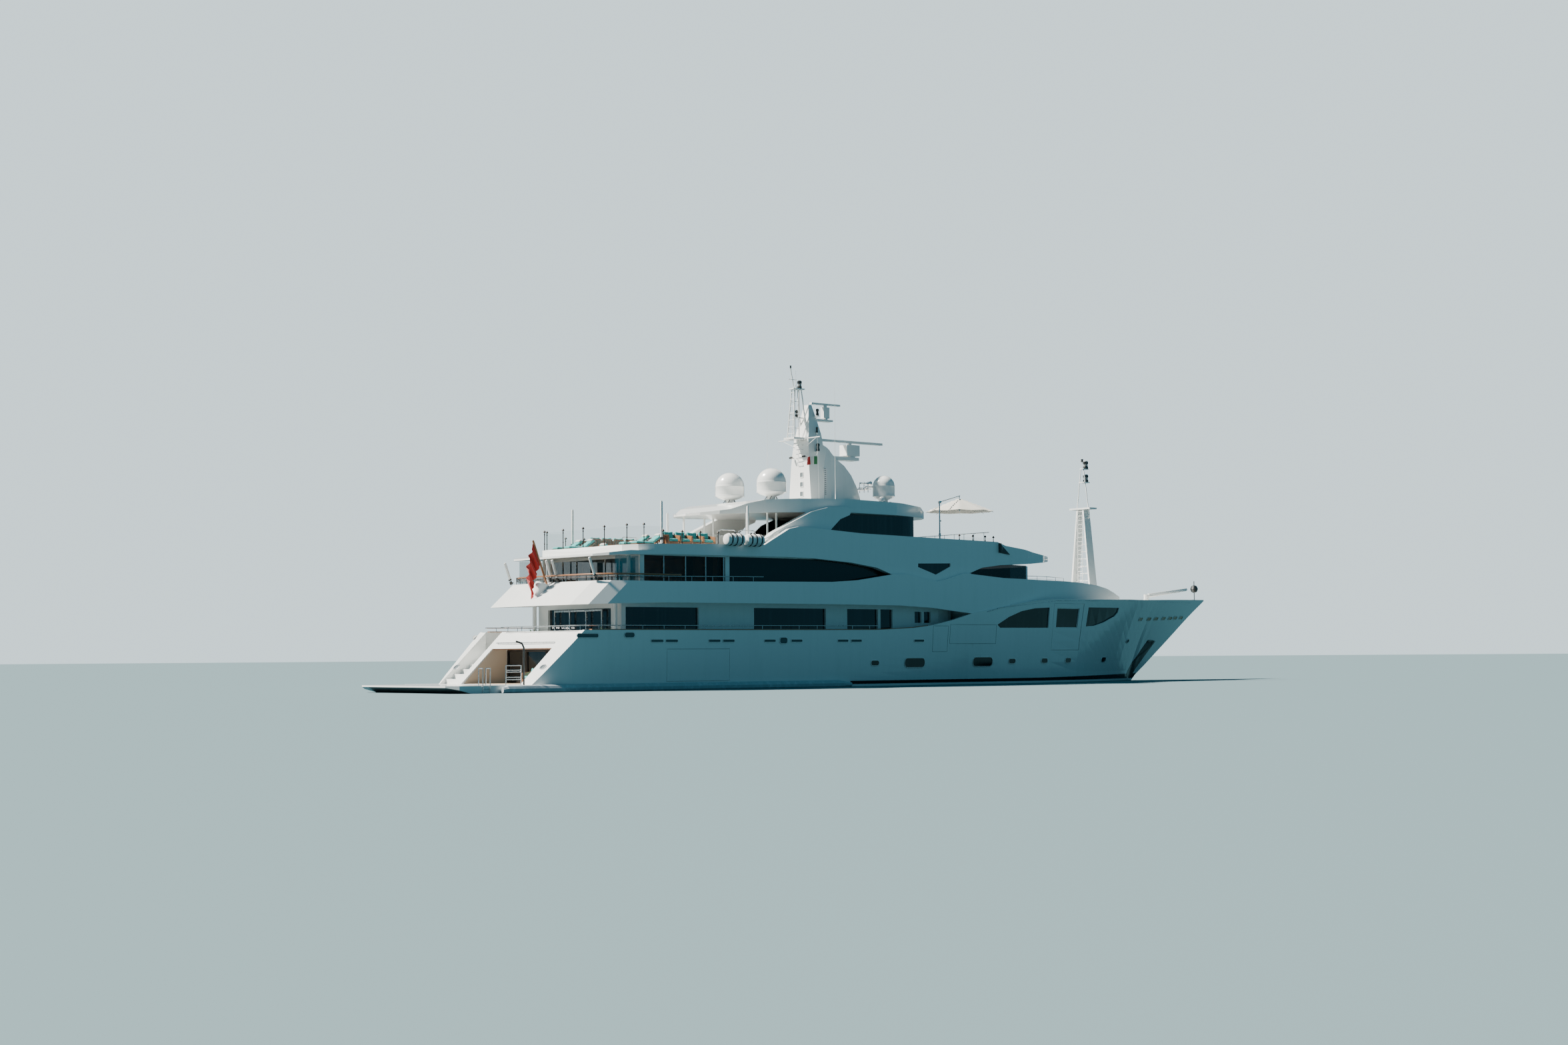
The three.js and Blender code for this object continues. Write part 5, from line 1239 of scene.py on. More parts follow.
def build_light_poles():
    """White poles in black sockets."""
    for name, x, y, head in LIGHT_POLES:
        foot = on_wing(x, y)
        height = head - foot
        pole = lathe([(0.075, 0.1), (0.075, height * 0.97), (0.05, height)], (x, y, foot), steps=14)
        socket = lathe(
            [
                (0.13, 0), (0.13, 0.03), (0.06, 0.06), (0.06, 0.2), (0.11, 0.21), (0.11, 0.4), (0.07, 0.41),
                (0.07, 0.62), (0.105, 0.63), (0.105, 0.76), (0.08, 0.78),
            ],
            (x, y, foot), steps=14,
        )
        both_sides(pole, "light_pole_" + name, WHITE_PAINT)
        both_sides(socket, "pole_socket_" + name, BLACK_PAINT_AND_POCKET_SHADE)


def raft_canister(length=1.3, radius=0.34):
    """A ribbed canister in two halves, with drawn-in ends."""
    profile = [
        (radius * 0.55, -length / 2), (radius * 0.86, -length / 2 + 0.05), (radius, -length / 2 + 0.16),
    ]
    for step in range(7):
        x = -length / 2 + 0.22 + step * (length - 0.44) / 6
        profile += [
            (radius, x - 0.02), (radius + 0.018, x - 0.01), (radius + 0.018, x + 0.01), (radius, x + 0.02),
        ]
    profile += [(radius, length / 2 - 0.16), (radius * 0.86, length / 2 - 0.05), (radius * 0.55, length / 2)]
    return lathe(profile, axis=(1, 0, 0), steps=28)


def dress_rafts():
    """Two rafts a side, on cradles, with black straps and round-topped guard bars inboard."""
    low, high = ship_box("life_rafts_starboard")
    middle_y, middle_z = (low.y + high.y) / 2, (low.z + high.z) / 2
    shells, straps, cradles, guards = [], [], [], []
    for x in (low.x + 0.7, high.x - 0.7):
        shells.append(moved(raft_canister(), (x, middle_y, middle_z)))
        for off in (-0.36, 0, 0.36):
            ring = [
                (0.362, off - 0.03), (0.376, off - 0.025), (0.376, off + 0.025), (0.362, off + 0.03),
                (0.34, off),
            ]
            straps.append(lathe(ring, (x, middle_y, middle_z), (1, 0, 0), 28))
            aft, top = x + off - 0.05, middle_z - 0.22
            cradles.append(slab(
                [
                    (aft, middle_y - 0.34, low.z), (aft, middle_y + 0.34, low.z),
                    (aft, middle_y + 0.3, top), (aft, middle_y - 0.3, top),
                ],
                (0.1, 0, 0), 0.01,
            ))
        foot, head, inboard = low.z + 0.05, high.z + 0.32, -4.85
        half_arch = ((0.62, foot), (0.62, head - 0.14), (0.58, head - 0.04), (0.48, head))
        arch = [(x - along, inboard, z) for along, z in half_arch]
        arch += [(x + along, inboard, z) for along, z in reversed(half_arch)]
        guards += [
            tube(arch, 0.028),
            rod((x - 0.62, inboard, head - 0.35), (x + 0.62, inboard, head - 0.35), 0.018),
        ]
    starboard, port = both_sides(shells, "raft_canisters", WHITE_PAINT)
    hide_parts("life_rafts_starboard")
    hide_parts("life_rafts_port")
    both_sides(straps, "raft_straps", BLACK_RUBBER)
    both_sides(cradles, "raft_cradles", GREY_PAINT)
    both_sides(guards, "raft_guards", STAINLESS)


build_balustrade()
build_light_poles()
dress_rafts()


# ---- Soft goods: pads blown up by cloth pressure and settled

PAD_FRAMES = 18
PAD_VOXEL = 0.016


def padded_form(width, depth, height, swell, rounding=0.35):
    """A cushion: a rounded box, remeshed and swollen by Blender's Cloth. Sizes in ship metres."""
    piece = block((-width / 2, -depth / 2, 0), (width / 2, depth / 2, height), height * rounding, 3)
    make_active(piece)
    piece.data.remesh_voxel_size = PAD_VOXEL
    bpy.ops.object.voxel_remesh()
    rest = [vertex.co.copy() for vertex in piece.data.vertices]
    added = piece.modifiers.new("swell", "CLOTH")
    settings = added.settings
    settings.use_pressure = True
    settings.uniform_pressure_force = 4
    settings.effector_weights.gravity = 0
    settings.quality = 4
    for frame_number in range(1, PAD_FRAMES + 1):
        bpy.context.scene.frame_set(frame_number)
    make_active(piece)
    bpy.ops.object.modifier_apply(modifier=added.name)
    bpy.context.scene.frame_set(1)
    cap = swell * SCALE
    for vertex, before in zip(piece.data.vertices, rest):
        away = vertex.co - before
        if away.length > cap:
            vertex.co = before + away.normalized() * cap
        vertex.co.z = max(vertex.co.z, 0)
    return piece


def turned_to(x, y, z, degrees=0.0, tilt=0.0, tilt_axis="Y"):
    """A matrix that tilts a pad, turns it about the vertical, then puts it down."""
    return (
        Matrix.Translation(spot(x, y, z))
        @ Matrix.Rotation(math.radians(degrees), 4, "Z")
        @ Matrix.Rotation(math.radians(tilt), 4, tilt_axis)
    )


def lay_pad(prototype, name, material, matrix, paired=True):
    """A padded copy laid by a matrix, with its twin on the port side."""
    pads = [duplicate(prototype, matrix)]
    names = [name]
    if paired:
        pads.append(mirrored(pads[0]))
        names = [name + "_starboard", name + "_port"]
    for pad, pad_name in zip(pads, names):
        keep(pad, pad_name, material, smooth=60)
    return pads


MATTRESS = padded_form(1.28, 0.58, 0.11, 0.03)
BACK_REST = padded_form(0.74, 0.58, 0.11, 0.03)
PILLOW = padded_form(0.2, 0.48, 0.09, 0.03)
SEAT_PAD = padded_form(0.7, 0.62, 0.15, 0.035)
BACK_PAD = padded_form(0.68, 0.44, 0.15, 0.04)

LOUNGER = {"x": -24.42, "z": 8.22, "seat": 1.3, "back": 0.8, "tilt": 33.5}
LOUNGER_SPOTS = ((2.78, 8.22), (4.02, 8.22), (1.45, 7.905))


def lounger_frame():
    """A slatted teak frame with a raised back on a strut. The foot is at the origin, the head towards +X."""
    seat, back = LOUNGER["seat"], LOUNGER["back"]
    rails = [
        block((0, side * 0.285 - 0.02, 0.02), (seat, side * 0.285 + 0.02, 0.08), 0.008) for side in (-1, 1)
    ]
    slat = block((0.05, -0.265, 0.045), (0.15, 0.265, 0.07), 0.006, 1)
    slats = copies(slat, [(step * 0.165, 0, 0) for step in range(1, 8)])
    legs = [block((x, side * 0.285 - 0.03, 0), (x + 0.07, side * 0.285 + 0.03, 0.03), 0.006, 1)
            for x in (0.05, seat - 0.12) for side in (-1, 1)]
    lifted = [
        block((0, side * 0.285 - 0.02, 0), (back, side * 0.285 + 0.02, 0.045), 0.008) for side in (-1, 1)
    ]
    back_slat = block((0.04, -0.265, 0.01), (0.14, 0.265, 0.035), 0.006, 1)
    lifted += copies(back_slat, [(step * 0.16, 0, 0) for step in range(1, 5)])
    raised = turned(join(lifted), turned_to(seat, 0, 0.04, 0, -LOUNGER["tilt"]))
    strut = rod((seat + 0.5, 0, 0.36), (seat + 0.62, 0, 0.02), 0.018, sides=6)
    foot = block((seat + 0.3, -0.26, 0), (seat + 0.66, 0.26, 0.025), 0.006, 1)
    return join(rails, slats, legs, raised, strut, foot)


def build_loungers():
    frame_prototype = lounger_frame()
    x, seat = LOUNGER["x"], LOUNGER["seat"]
    frames = []
    for number, (y, z) in enumerate(LOUNGER_SPOTS, 1):
        frames.append(duplicate(frame_prototype, step_by(x, -y, z)))
        lay_pad(MATTRESS, f"lounger_mattress_{number}", TURQUOISE, turned_to(x + seat / 2, -y, z + 0.08))
        run = math.radians(LOUNGER["tilt"])
        out = seat + 0.4 * math.cos(run) - 0.05 * math.sin(run)
        rise = 0.1 + 0.4 * math.sin(run) + 0.05 * math.cos(run)
        lay_pad(
            BACK_REST, f"lounger_back_{number}", TURQUOISE,
            turned_to(x + out, -y, z + rise, 0, -LOUNGER["tilt"]),
        )
        out = seat + 0.62 * math.cos(run) - 0.16 * math.sin(run)
        rise = 0.1 + 0.62 * math.sin(run) + 0.16 * math.cos(run)
        lay_pad(
            PILLOW, f"lounger_pillow_{number}", PALE_CLOTH,
            turned_to(x + out, -y, z + rise, 0, -LOUNGER["tilt"]),
        )
    bpy.data.objects.remove(frame_prototype)
    starboard, port = both_sides(frames, "lounger_frames", VARNISH)
    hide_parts("sundeck_loungers_starboard")
    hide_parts("sundeck_loungers_port")
    plinth = block((-24.45, -4.42, SUN_DECK + 0.005), (-18.85, -2.38, LOUNGER["z"]), 0.03)
    both_sides(plinth, "lounger_plinth", DECK_TEAK)


ARMCHAIRS = (-21.75, -20.9, -20.05, -19.2)


def armchair_frame():
    """A teak armchair with panel arms and a slatted back, facing +Y, its middle at the origin."""
    arm = [(0, -0.4, 0), (0, -0.4, 0.66), (0, -0.32, 0.68), (0, 0.3, 0.6), (0, 0.38, 0.56), (0, 0.38, 0)]
    arms = [moved(slab(arm, (0.06, 0, 0), 0.012), (x, 0, 0)) for x in (-0.43, 0.37)]
    seat = block((-0.37, -0.34, 0.2), (0.37, 0.36, 0.25), 0.01)
    apron = block((-0.37, 0.33, 0.08), (0.37, 0.36, 0.2), 0.008, 1)
    slat = block((-0.34, -0.39, 0.25), (-0.26, -0.36, 0.72), 0.006, 1)
    slats = copies(slat, [(step * 0.12, 0, 0) for step in range(1, 6)])
    top = block((-0.37, -0.4, 0.7), (0.37, -0.35, 0.76), 0.012)
    return join(arms, seat, apron, slats, top)


def teak_table(width, depth, height):
    """A slatted low table with four square legs and an apron."""
    legs = [block((sx * (width / 2 - 0.06) - 0.03, sy * (depth / 2 - 0.06) - 0.03, 0),
                  (sx * (width / 2 - 0.06) + 0.03, sy * (depth / 2 - 0.06) + 0.03, height - 0.03), 0.006, 1)
            for sx in (-1, 1) for sy in (-1, 1)]
    count = max(3, round(width / 0.12))
    pitch = width / count
    slat = block(
        (-width / 2 + 0.008, -depth / 2, height - 0.03), (-width / 2 + pitch - 0.008, depth / 2, height),
        0.006, 1,
    )
    slats = copies(slat, [(step * pitch, 0, 0) for step in range(1, count)])
    apron = block(
        (-width / 2 + 0.05, -depth / 2 + 0.05, height - 0.1),
        (width / 2 - 0.05, depth / 2 - 0.05, height - 0.03), 0.008, 1,
    )
    return join(legs, slats, apron)


def build_armchairs():
    frame_prototype = armchair_frame()
    frames = []
    y, z = -3.95, LOUNGER["z"]
    for number, x in enumerate(ARMCHAIRS, 1):
        frames.append(duplicate(frame_prototype, turned_to(x, y, z, 180)))
        lay_pad(SEAT_PAD, f"armchair_seat_{number}", TURQUOISE, turned_to(x, y - 0.02, z + 0.25))
        back = turned_to(x, y + 0.33, z + 0.62, 180) @ Matrix.Rotation(math.radians(-78), 4, "X")
        lay_pad(BACK_PAD, f"armchair_back_{number}", TURQUOISE, back)
    bpy.data.objects.remove(frame_prototype)
    both_sides(frames, "armchair_frames", VARNISH)
    tables = [moved(teak_table(1.2, 0.6, 0.36), (x, -2.85, z)) for x in (-21.3, -19.6)]
    tables.append(moved(teak_table(0.55, 0.5, 0.62), (-22.42, -4.1, z)))
    both_sides(tables, "sundeck_tables", VARNISH)


build_loungers()
build_armchairs()


# ---- Upper aft deck: cap rail, awning poles, the stern pod, windscreens, the lounge behind glass

CAP_RAIL = (
    (-22, 5.29), (-25.5, 5.27), (-26.2, 5.0), (-26.62, 4.7), (-27.0, 4.1), (-27.22, 3.4), (-27.38, 1.7),
    (-27.42, 0),
)
RAIL_Z, MIDDLE_RAIL_Z, BULWARK_TOP, RAIL_POST_GAP = 6.52, 6.34, 6.12, 1.2
AWNING_POLES = ((-27.2, 4.35), (-27.0, 0.3))
AWNING_LEAN = Vector((-0.34, 0, 0.94))
UPPER_AFT_RIM = ((-27.1, -3.2), (-26.4, -4.6), (-24.55, -4.95), (-24.55, 4.95), (-26.4, 4.6), (-27.1, 3.2))
STOOL_PROFILE = ((0.18, 0), (0.18, 0.02), (0.03, 0.04), (0.03, 0.7), (0.17, 0.72), (0.17, 0.78), (0.1, 0.8))
CURTAIN_PLACES, CURTAIN_DROP = (-21.0, -19.55, -18.75), 2.3
LOUNGE_MULLIONS = (-22.8, -21.25, -19.8, -18.5)


def build_cap_rail():
    """A varnished rail on thin posts round the aft edge of the upper deck."""
    around = [(x, -y, RAIL_Z) for x, y in CAP_RAIL] + [(x, y, RAIL_Z) for x, y in CAP_RAIL[-2::-1]]
    keep(tube(around, 0.045), "upper_aft_cap_rail", VARNISH)
    middle = [(x, y, MIDDLE_RAIL_Z) for x, y, _ in around]
    posts = []
    for (ax, ay, _), (bx, by, _) in zip(around, around[1:]):
        count = max(1, round(math.hypot(bx - ax, by - ay) / RAIL_POST_GAP))
        for step in range(count):
            x, y = ax + (bx - ax) * step / count, ay + (by - ay) * step / count
            posts.append(rod((x, y, BULWARK_TOP), (x, y, RAIL_Z), 0.022, sides=6))
    keep(join(tube(middle, 0.015), posts), "upper_aft_rail_posts", DARK_BRONZE)


def build_awning_poles():
    """White poles for the awning, leaning aft, each on a black hinged foot."""
    poles, feet = [], []
    for x, y in AWNING_POLES:
        base = Vector((x, -y, BULWARK_TOP + 0.04))
        lean = AWNING_LEAN.normalized()
        poles.append(rod(base + lean * 0.28, base + lean * 1.35, 0.075, sides=12))
        feet.append(rod(base, base + lean * 0.2, 0.09, sides=10))
        feet.append(rod(base + lean * 0.24, base + lean * 0.36, 0.1, sides=10))
        feet.append(rod(base + Vector((0.02, 0.14, 0.1)), base + Vector((0.02, -0.14, 0.1)), 0.035, sides=8))
    both_sides(poles, "awning_poles", WHITE_PAINT)
    both_sides(feet, "awning_pole_feet", BLACK_PAINT_AND_POCKET_SHADE)


def build_stern_pod():
    """The white half cone on the aft face under the flagstaff, its fairing pole and two bollards above."""
    pod = lathe(
        [(0.12, -0.95), (0.3, -0.6), (0.42, -0.25), (0.47, -0.04), (0.47, 0.0), (0.4, 0.02)],
        (-27.85, 0, 6.0), (0.5, 0, 1), 24,
    )
    keep(pod, "stern_pod", WHITE_PAINT, smooth=50)
    ring = lathe(
        [(0.12, 0.0), (0.15, 0.02), (0.15, 0.04), (0.1, 0.05)], (-28.17, -0.12, 5.78), (-1, -0.3, 0.45), 16,
    )
    keep(ring, "stern_pod_ring", BLACK_PAINT_AND_POCKET_SHADE)
    posts = []
    for y in (-0.28, 0.28):
        posts.append(
            lathe(
                [(0.1, 0), (0.1, 0.03), (0.07, 0.05), (0.07, 0.2), (0.1, 0.22), (0.1, 0.27), (0.05, 0.29)],
                (-27.55, y, 6.14), steps=14,
            )
        )
    keep(posts, "staff_bollards", BLACK_PAINT_AND_POCKET_SHADE)
    keep(rod((-27.72, -0.52, 6.1), (-28.35, -0.52, 5.05), 0.022, sides=8), "stern_fairing_pole", STAINLESS)


def lounge_sofa(x0, x1, y, z, name):
    """A low built-in seat, white below and turquoise above."""
    keep(block((x0, y - 0.42, z), (x1, y + 0.42, z + 0.28), 0.04), name + "_base", WHITE_PAINT)
    count = round((x1 - x0) / 0.72)
    pitch = (x1 - x0) / count
    for step in range(count):
        lay_pad(
            SEAT_PAD, f"{name}_seat_{step + 1}", TURQUOISE,
            turned_to(x0 + pitch * (step + 0.5), y, z + 0.28), paired=False,
        )


def line_lounge():
    deck, head = UPPER_DECK, SUN_DECK
    teak = slab([(x, y, deck + 0.004) for x, y in UPPER_AFT_RIM], (0, 0, 0.018))
    keep(teak, "upper_aft_teak", DECK_TEAK)
    for name, material, start, stop, *edge in (
        ("floor", DECK_TEAK, (-24.3, -4.45, deck + 0.004), (-18.5, 4.45, deck + 0.022), 0.004, 1),
        ("bulkhead", WARM_TIMBER, (-18.42, -4.5, deck + 0.03), (-18.34, 4.5, head - 0.2), 0.01),
        ("ceiling", WARM_TIMBER, (-24.3, -4.5, head - 0.22), (-18.5, 4.5, head - 0.19), 0.01),
    ):
        keep(block(start, stop, *edge), "lounge_" + name, material)


def furnish_lounge():
    deck = UPPER_DECK
    counter = [
        block((-20.6, -1.6, deck + 0.03), (-20.0, 1.6, deck + 1.05), 0.03),
        block((-20.75, -1.7, deck + 1.06), (-19.85, 1.7, deck + 1.12), 0.02),
    ]
    keep(counter, "lounge_bar", WARM_TIMBER)
    stools = [lathe(STOOL_PROFILE, (-21.2, y, deck + 0.02), steps=14) for y in (-1.2, -0.4, 0.4, 1.2)]
    keep(stools, "lounge_stools", DARK_BRONZE)
    for side_name, side in SIDES.items():
        lounge_sofa(-24.0, -21.8, side * 3.6, deck + 0.03, "lounge_sofa_" + side_name)


def dress_lounge_windows():
    """Mullions and curtains at the sides, door frames and windscreens aft."""
    mullions = [block((x - 0.03, -4.72, 5.76), (x + 0.03, -4.64, 7.61), 0.008, 1) for x in LOUNGE_MULLIONS]
    both_sides(mullions, "lounge_mullions", STAINLESS)
    drapes = []
    for x in CURTAIN_PLACES:
        wave = [(x + 0.05 * n, -4.5 + (0.05 if n % 2 else -0.02), 5.3) for n in range(9)]
        back = [(a, b + 0.05, c) for a, b, c in reversed(wave)]
        drapes.append(slab(wave + back, (0, 0, CURTAIN_DROP)))
    starboard, port = both_sides(drapes, "lounge_curtains", CURTAIN)
    frames = [
        block((-24.62, y - 0.03, UPPER_DECK + 0.13), (-24.52, y + 0.03, 7.48), 0.01)
        for y in (-2.9, -1.45, 0, 1.45, 2.9)
    ]
    keep(frames, "lounge_door_frames", STAINLESS)
    screen = block((-26.3, -4.912, UPPER_DECK + 0.03), (-24.7, -4.888, 7.55), 0.006, 1)
    both_sides(screen, "aft_deck_windscreens", BLUE_GLASS)


build_cap_rail()
build_awning_poles()
build_stern_pod()
line_lounge()
furnish_lounge()
dress_lounge_windows()


# ---- Main aft deck: door frames and potted plants

POT_PROFILE = ((0.2, 0), (0.27, 0.5), (0.3, 0.52), (0.3, 0.57), (0.24, 0.58))
LEAVES = 14


def furnish_main_aft():
    deck = MAIN_DECK
    frames = [
        block((-25.5, y - 0.04, deck + 0.13), (-25.4, y + 0.04, 4.6), 0.01) for y in (-2.4, -0.83, 0.83, 2.4)
    ]
    frames.append(block((-25.49, -2.4, 4.5), (-25.41, 2.4, 4.6), 0.01))
    keep(frames, "aft_door_frames", STAINLESS)
    plants, pots = [], []
    for y in (-3.65, 3.65):
        pots.append(lathe(POT_PROFILE, (-26.1, y, deck + 0.02), steps=18))
        leaf = slab([(0, 0, 0), (0.35, 0.03, 0.35), (0.62, 0.0, 0.5), (0.35, -0.03, 0.33)], (0, 0, 0.012))
        for n in range(LEAVES):
            root = step_by(-26.1, y, deck + 0.52)
            turn, lean = Matrix.Rotation(n * 2.4, 4, "Z"), Matrix.Rotation(-0.12 * (n % 5), 4, "Y")
            plants.append(duplicate(leaf, root @ turn @ lean))
        bpy.data.objects.remove(leaf)
    keep(pots, "aft_deck_pots", GREY_PAINT)
    keep(plants, "aft_deck_plants", FOLIAGE)


furnish_main_aft()


# ---- Beach club: lined walls, framed doors, a varnished head strip, a handrail, two chairs, fairleads

ROOM = {"starboard": -3.7, "port": 2.45, "floor": 0.42, "head": 2.4}
HANDRAIL_Z = 2.72


def frame_beach_club_doors(doors, low, high):
    floor, head = ROOM["floor"], ROOM["head"]
    frames = []
    for step in range(4):
        y = low + 0.07 + (high - low - 0.14) * step / 3
        frames.append(
            block((doors - 0.06, y - 0.06, floor + 0.05), (doors - 0.01, y + 0.06, head - 0.08), 0.012)
        )
    for z in (floor + 0.09, head - 0.14):
        frames.append(
            block((doors - 0.05, low + 0.1, z - 0.05), (doors - 0.012, high - 0.1, z + 0.05), 0.012)
        )
    keep(frames, "beach_club_door_frames", DARK_BRONZE)


def line_beach_club(doors):
    floor, head = ROOM["floor"], ROOM["head"]
    edge_low = ahead(ROOM["port"] + 0.12, floor + 0.1) + 0.08
    edge_high = ahead(ROOM["port"] + 0.12, head - 0.05) + 0.08
    panel = [
        (edge_low, floor + 0.02), (doors - 0.1, floor + 0.02), (doors - 0.1, head - 0.02),
        (edge_high, head - 0.02),
    ]
    wall = slab([(x, ROOM["port"] - 0.03, z) for x, z in panel], (0, 0.02, 0), 0.004, 1)
    keep(wall, "beach_club_lining", BEIGE_PAINT)
    strip = block(
        (edge_high + 0.02, ROOM["starboard"] + 0.05, head - 0.07),
        (edge_high + 0.2, ROOM["port"] - 0.04, head - 0.01), 0.01,
    )
    keep(strip, "beach_club_head_strip", VARNISH)
    teak_floor = block(
        (edge_low + 0.05, ROOM["starboard"] + 0.03, floor + 0.004),
        (doors - 0.1, ROOM["port"] - 0.04, floor + 0.016), 0.003, 1,
    )
    keep(teak_floor, "beach_club_floor", DECK_TEAK)


def run_transom_handrail():
    """A rail across the stern over the opening, its two ends and its brackets let into the face."""
    line, feet = (
        [(ahead(y, HANDRAIL_Z) + off, y, HANDRAIL_Z) for y in (2.3, 1.2, 0, -1.2, -2.4, -3.5)]
        for off in (-0.13, 0.01)
    )
    brackets = [rod(foot, end, 0.016, sides=6) for foot, end in zip(feet[1:-1], line[1:-1])]
    keep(join(tube([feet[0], *line, feet[-1]], 0.026), brackets), "transom_handrail", STAINLESS)


def seat_beach_club(doors):
    floor = ROOM["floor"]
    frame_prototype = armchair_frame()
    chairs = []
    for number, (x, y) in enumerate(((doors - 1.1, -2.9), (doors - 1.1, -1.7)), 1):
        z = floor + 0.018
        chairs.append(duplicate(frame_prototype, turned_to(x, y, z, 90)))
        lay_pad(
            SEAT_PAD, f"club_chair_seat_{number}", TURQUOISE, turned_to(x - 0.02, y, z + 0.25, 90),
            paired=False,
        )
        upright = turned_to(x + 0.33, y, z + 0.62, 90) @ Matrix.Rotation(math.radians(-78), 4, "X")
        lay_pad(BACK_PAD, f"club_chair_back_{number}", TURQUOISE, upright, paired=False)
    bpy.data.objects.remove(frame_prototype)
    keep(chairs, "club_chair_frames", VARNISH)


def fit_beach_club():
    low, high = ship_box("beach_club_doors")
    doors = ahead((low.y + high.y) / 2, 1.4, "beach_club_doors")
    frame_beach_club_doors(doors, low.y, high.y)
    line_beach_club(doors)
    run_transom_handrail()
    seat_beach_club(doors)


def fit_quarter_fairleads():
    eye = opening(0.5, 0.36, 0.17, OPENING_SHADE, 0.07, 0.05, 0.04)
    place_aft = aft_face(-4.5, 1.35, "hull", PROUD, start=-45)
    both_sides(turned(eye, place_aft), "quarter_fairlead", None)


fit_beach_club()
fit_quarter_fairleads()


# ---- Bow: painted shade for the anchor pocket's recess, balcony windows, the boom's beam, the trunk's low rail, the side lights

# Corners, as (x, z), of the anchor pocket's recess down the bow, where a flat black strip is painted shade
ANCHOR_POCKET_SHADE = ((22.97, 2.91), (24.0, 2.78), (21.61, 0.13), (20.72, 0.43))
BALCONY_WINDOW = ((9.24, 4.88), (11.56, 4.88), (11.56, 3.67), (9.24, 3.67))
BOOM_BEAM = ((22.95, -0.97, 5.87), (27.72, -0.45, 6.43), (27.75, -0.44, 6.63), (22.95, -0.97, 6.16))
TRUNK_RAIL = ((8.9, 2.55), (9.9, 2.5), (10.9, 2.42), (11.9, 2.3), (12.9, 2.1))
SIDE_LIGHT = (3.75, 8.42)  # x and z of its screen's foot
SIDE_DECK_END = ((0.2, -5.143, 2.25), (1.25, -5.095, 2.25), (1.25, -5.145, 2.68), (0.2, -5.193, 2.68))


def draped(corners, node_name, lift=0.008, thick=0.01, columns=8, rows=14):
    """A thin skin laid over a node's starboard side inside four (x, z) corners."""
    clear()
    bpy.ops.mesh.primitive_grid_add(x_subdivisions=columns, y_subdivisions=rows, size=1)
    piece = bpy.context.object
    (ax, az), (bx, bz), (cx, cz), (dx, dz) = corners
    for vertex in piece.data.vertices:
        u, v = vertex.co.x + 0.5, 0.5 - vertex.co.y
        x = (ax + (bx - ax) * u) * (1 - v) + (dx + (cx - dx) * u) * v
        z = (az + (bz - az) * u) * (1 - v) + (dz + (cz - dz) * u) * v
        where, facing = skin(x, z, node_name)
        vertex.co = spot(*(where + lift * facing))
    return apply_modifier(piece, "SOLIDIFY", thickness=thick * SCALE, offset=-1)


def paint_anchor_pocket_shade():
    # A flat black skin on the plating stands in for the shade inside the anchor pocket's recess: painted
    # shade
    both_sides(draped(ANCHOR_POCKET_SHADE, "hull"), "anchor_pocket_painted_shade", BLACK_PAINT_AND_POCKET_SHADE)


def glaze_balcony_doors():
    """Each folding side door has its own dark window."""
    pane = draped(BALCONY_WINDOW, "balcony_door_starboard", 0.012, 0.012, 10, 6)
    twin = mirrored(pane)
    keep(pane, "balcony_door_pane_starboard", DARK_GLASS, body="balcony_door_starboard")
    keep(twin, "balcony_door_pane_port", DARK_GLASS, body="balcony_door_port")


def build_boom_beam():
    keep(slab(BOOM_BEAM, (0.02, 0.2, 0), 0.03), "bow_boom_beam", WHITE_PAINT, body="bow_boom")


def build_trunk_rail():
    parts = []
    tops = [(x, -y, top_of(x, y, "foredeck_trunk", 9) + 0.36) for x, y in TRUNK_RAIL]
    for x, y, z in tops:
        parts.append(rod((x, y, z - 0.37), (x, y, z), 0.014, sides=6))
    parts.append(tube(tops, 0.018))
    parts.append(tube([(x, y, z - 0.17) for x, y, z in tops], 0.01))
    both_sides(parts, "trunk_rail", STAINLESS)


def build_side_light_boxes():
    """Black screens for the side lights, with their lenses, on the shoulders of the sun deck."""
    x, z = SIDE_LIGHT
    where, _ = skin(x + 0.3, z + 0.2, "sundeck_wing")
    y = abs(where[1]) + 0.02
    screen = slab(
        [(x, -y, z), (x + 1.0, -y, z - 0.1), (x + 0.1, -y, z + 0.62), (x, -y, z + 0.62)], (0, 0.05, 0), 0.01,
    )
    back = block((x - 0.06, -y - 0.22, z), (x, -y + 0.05, z + 0.62), 0.012)
    both_sides(join(screen, back), "side_light_screen", BLACK_PAINT_AND_POCKET_SHADE)
    lens = lathe(
        [(0.07, 0), (0.08, 0.02), (0.08, 0.16), (0.05, 0.18)], (x + 0.12, -y - 0.1, z + 0.22), steps=14,
    )
    both_sides(lens, "side_light_lens", LAMP_GLASS)


def close_side_deck_end():
    """A shell plate 12 mm inside the topsides, where the side deck's well runs out through the flare."""
    both_sides(slab(SIDE_DECK_END, (0, 0.03, 0)), "side_deck_end_plate", HULL_TOPSIDES)


paint_anchor_pocket_shade()
glaze_balcony_doors()
build_boom_beam()
build_trunk_rail()
build_side_light_boxes()
close_side_deck_end()


# ---- Parasols: an octagonal canopy of lapped bands over ribs, hung from a side post's arm

PARASOL = {
    "x": -0.4, "y": 3.9, "reach": 2.35, "inboard": 0.6, "radius": 2.2, "rim": 11.08, "peak": 11.95,
    "ribs": 8, "bands": 8,
}


def parasol_slope(ring):
    """The height of the straight ribs' line, slightly drawn in at the rim."""
    return PARASOL["peak"] - (PARASOL["peak"] - PARASOL["rim"]) * (0.94 * ring + 0.06 * ring**3)


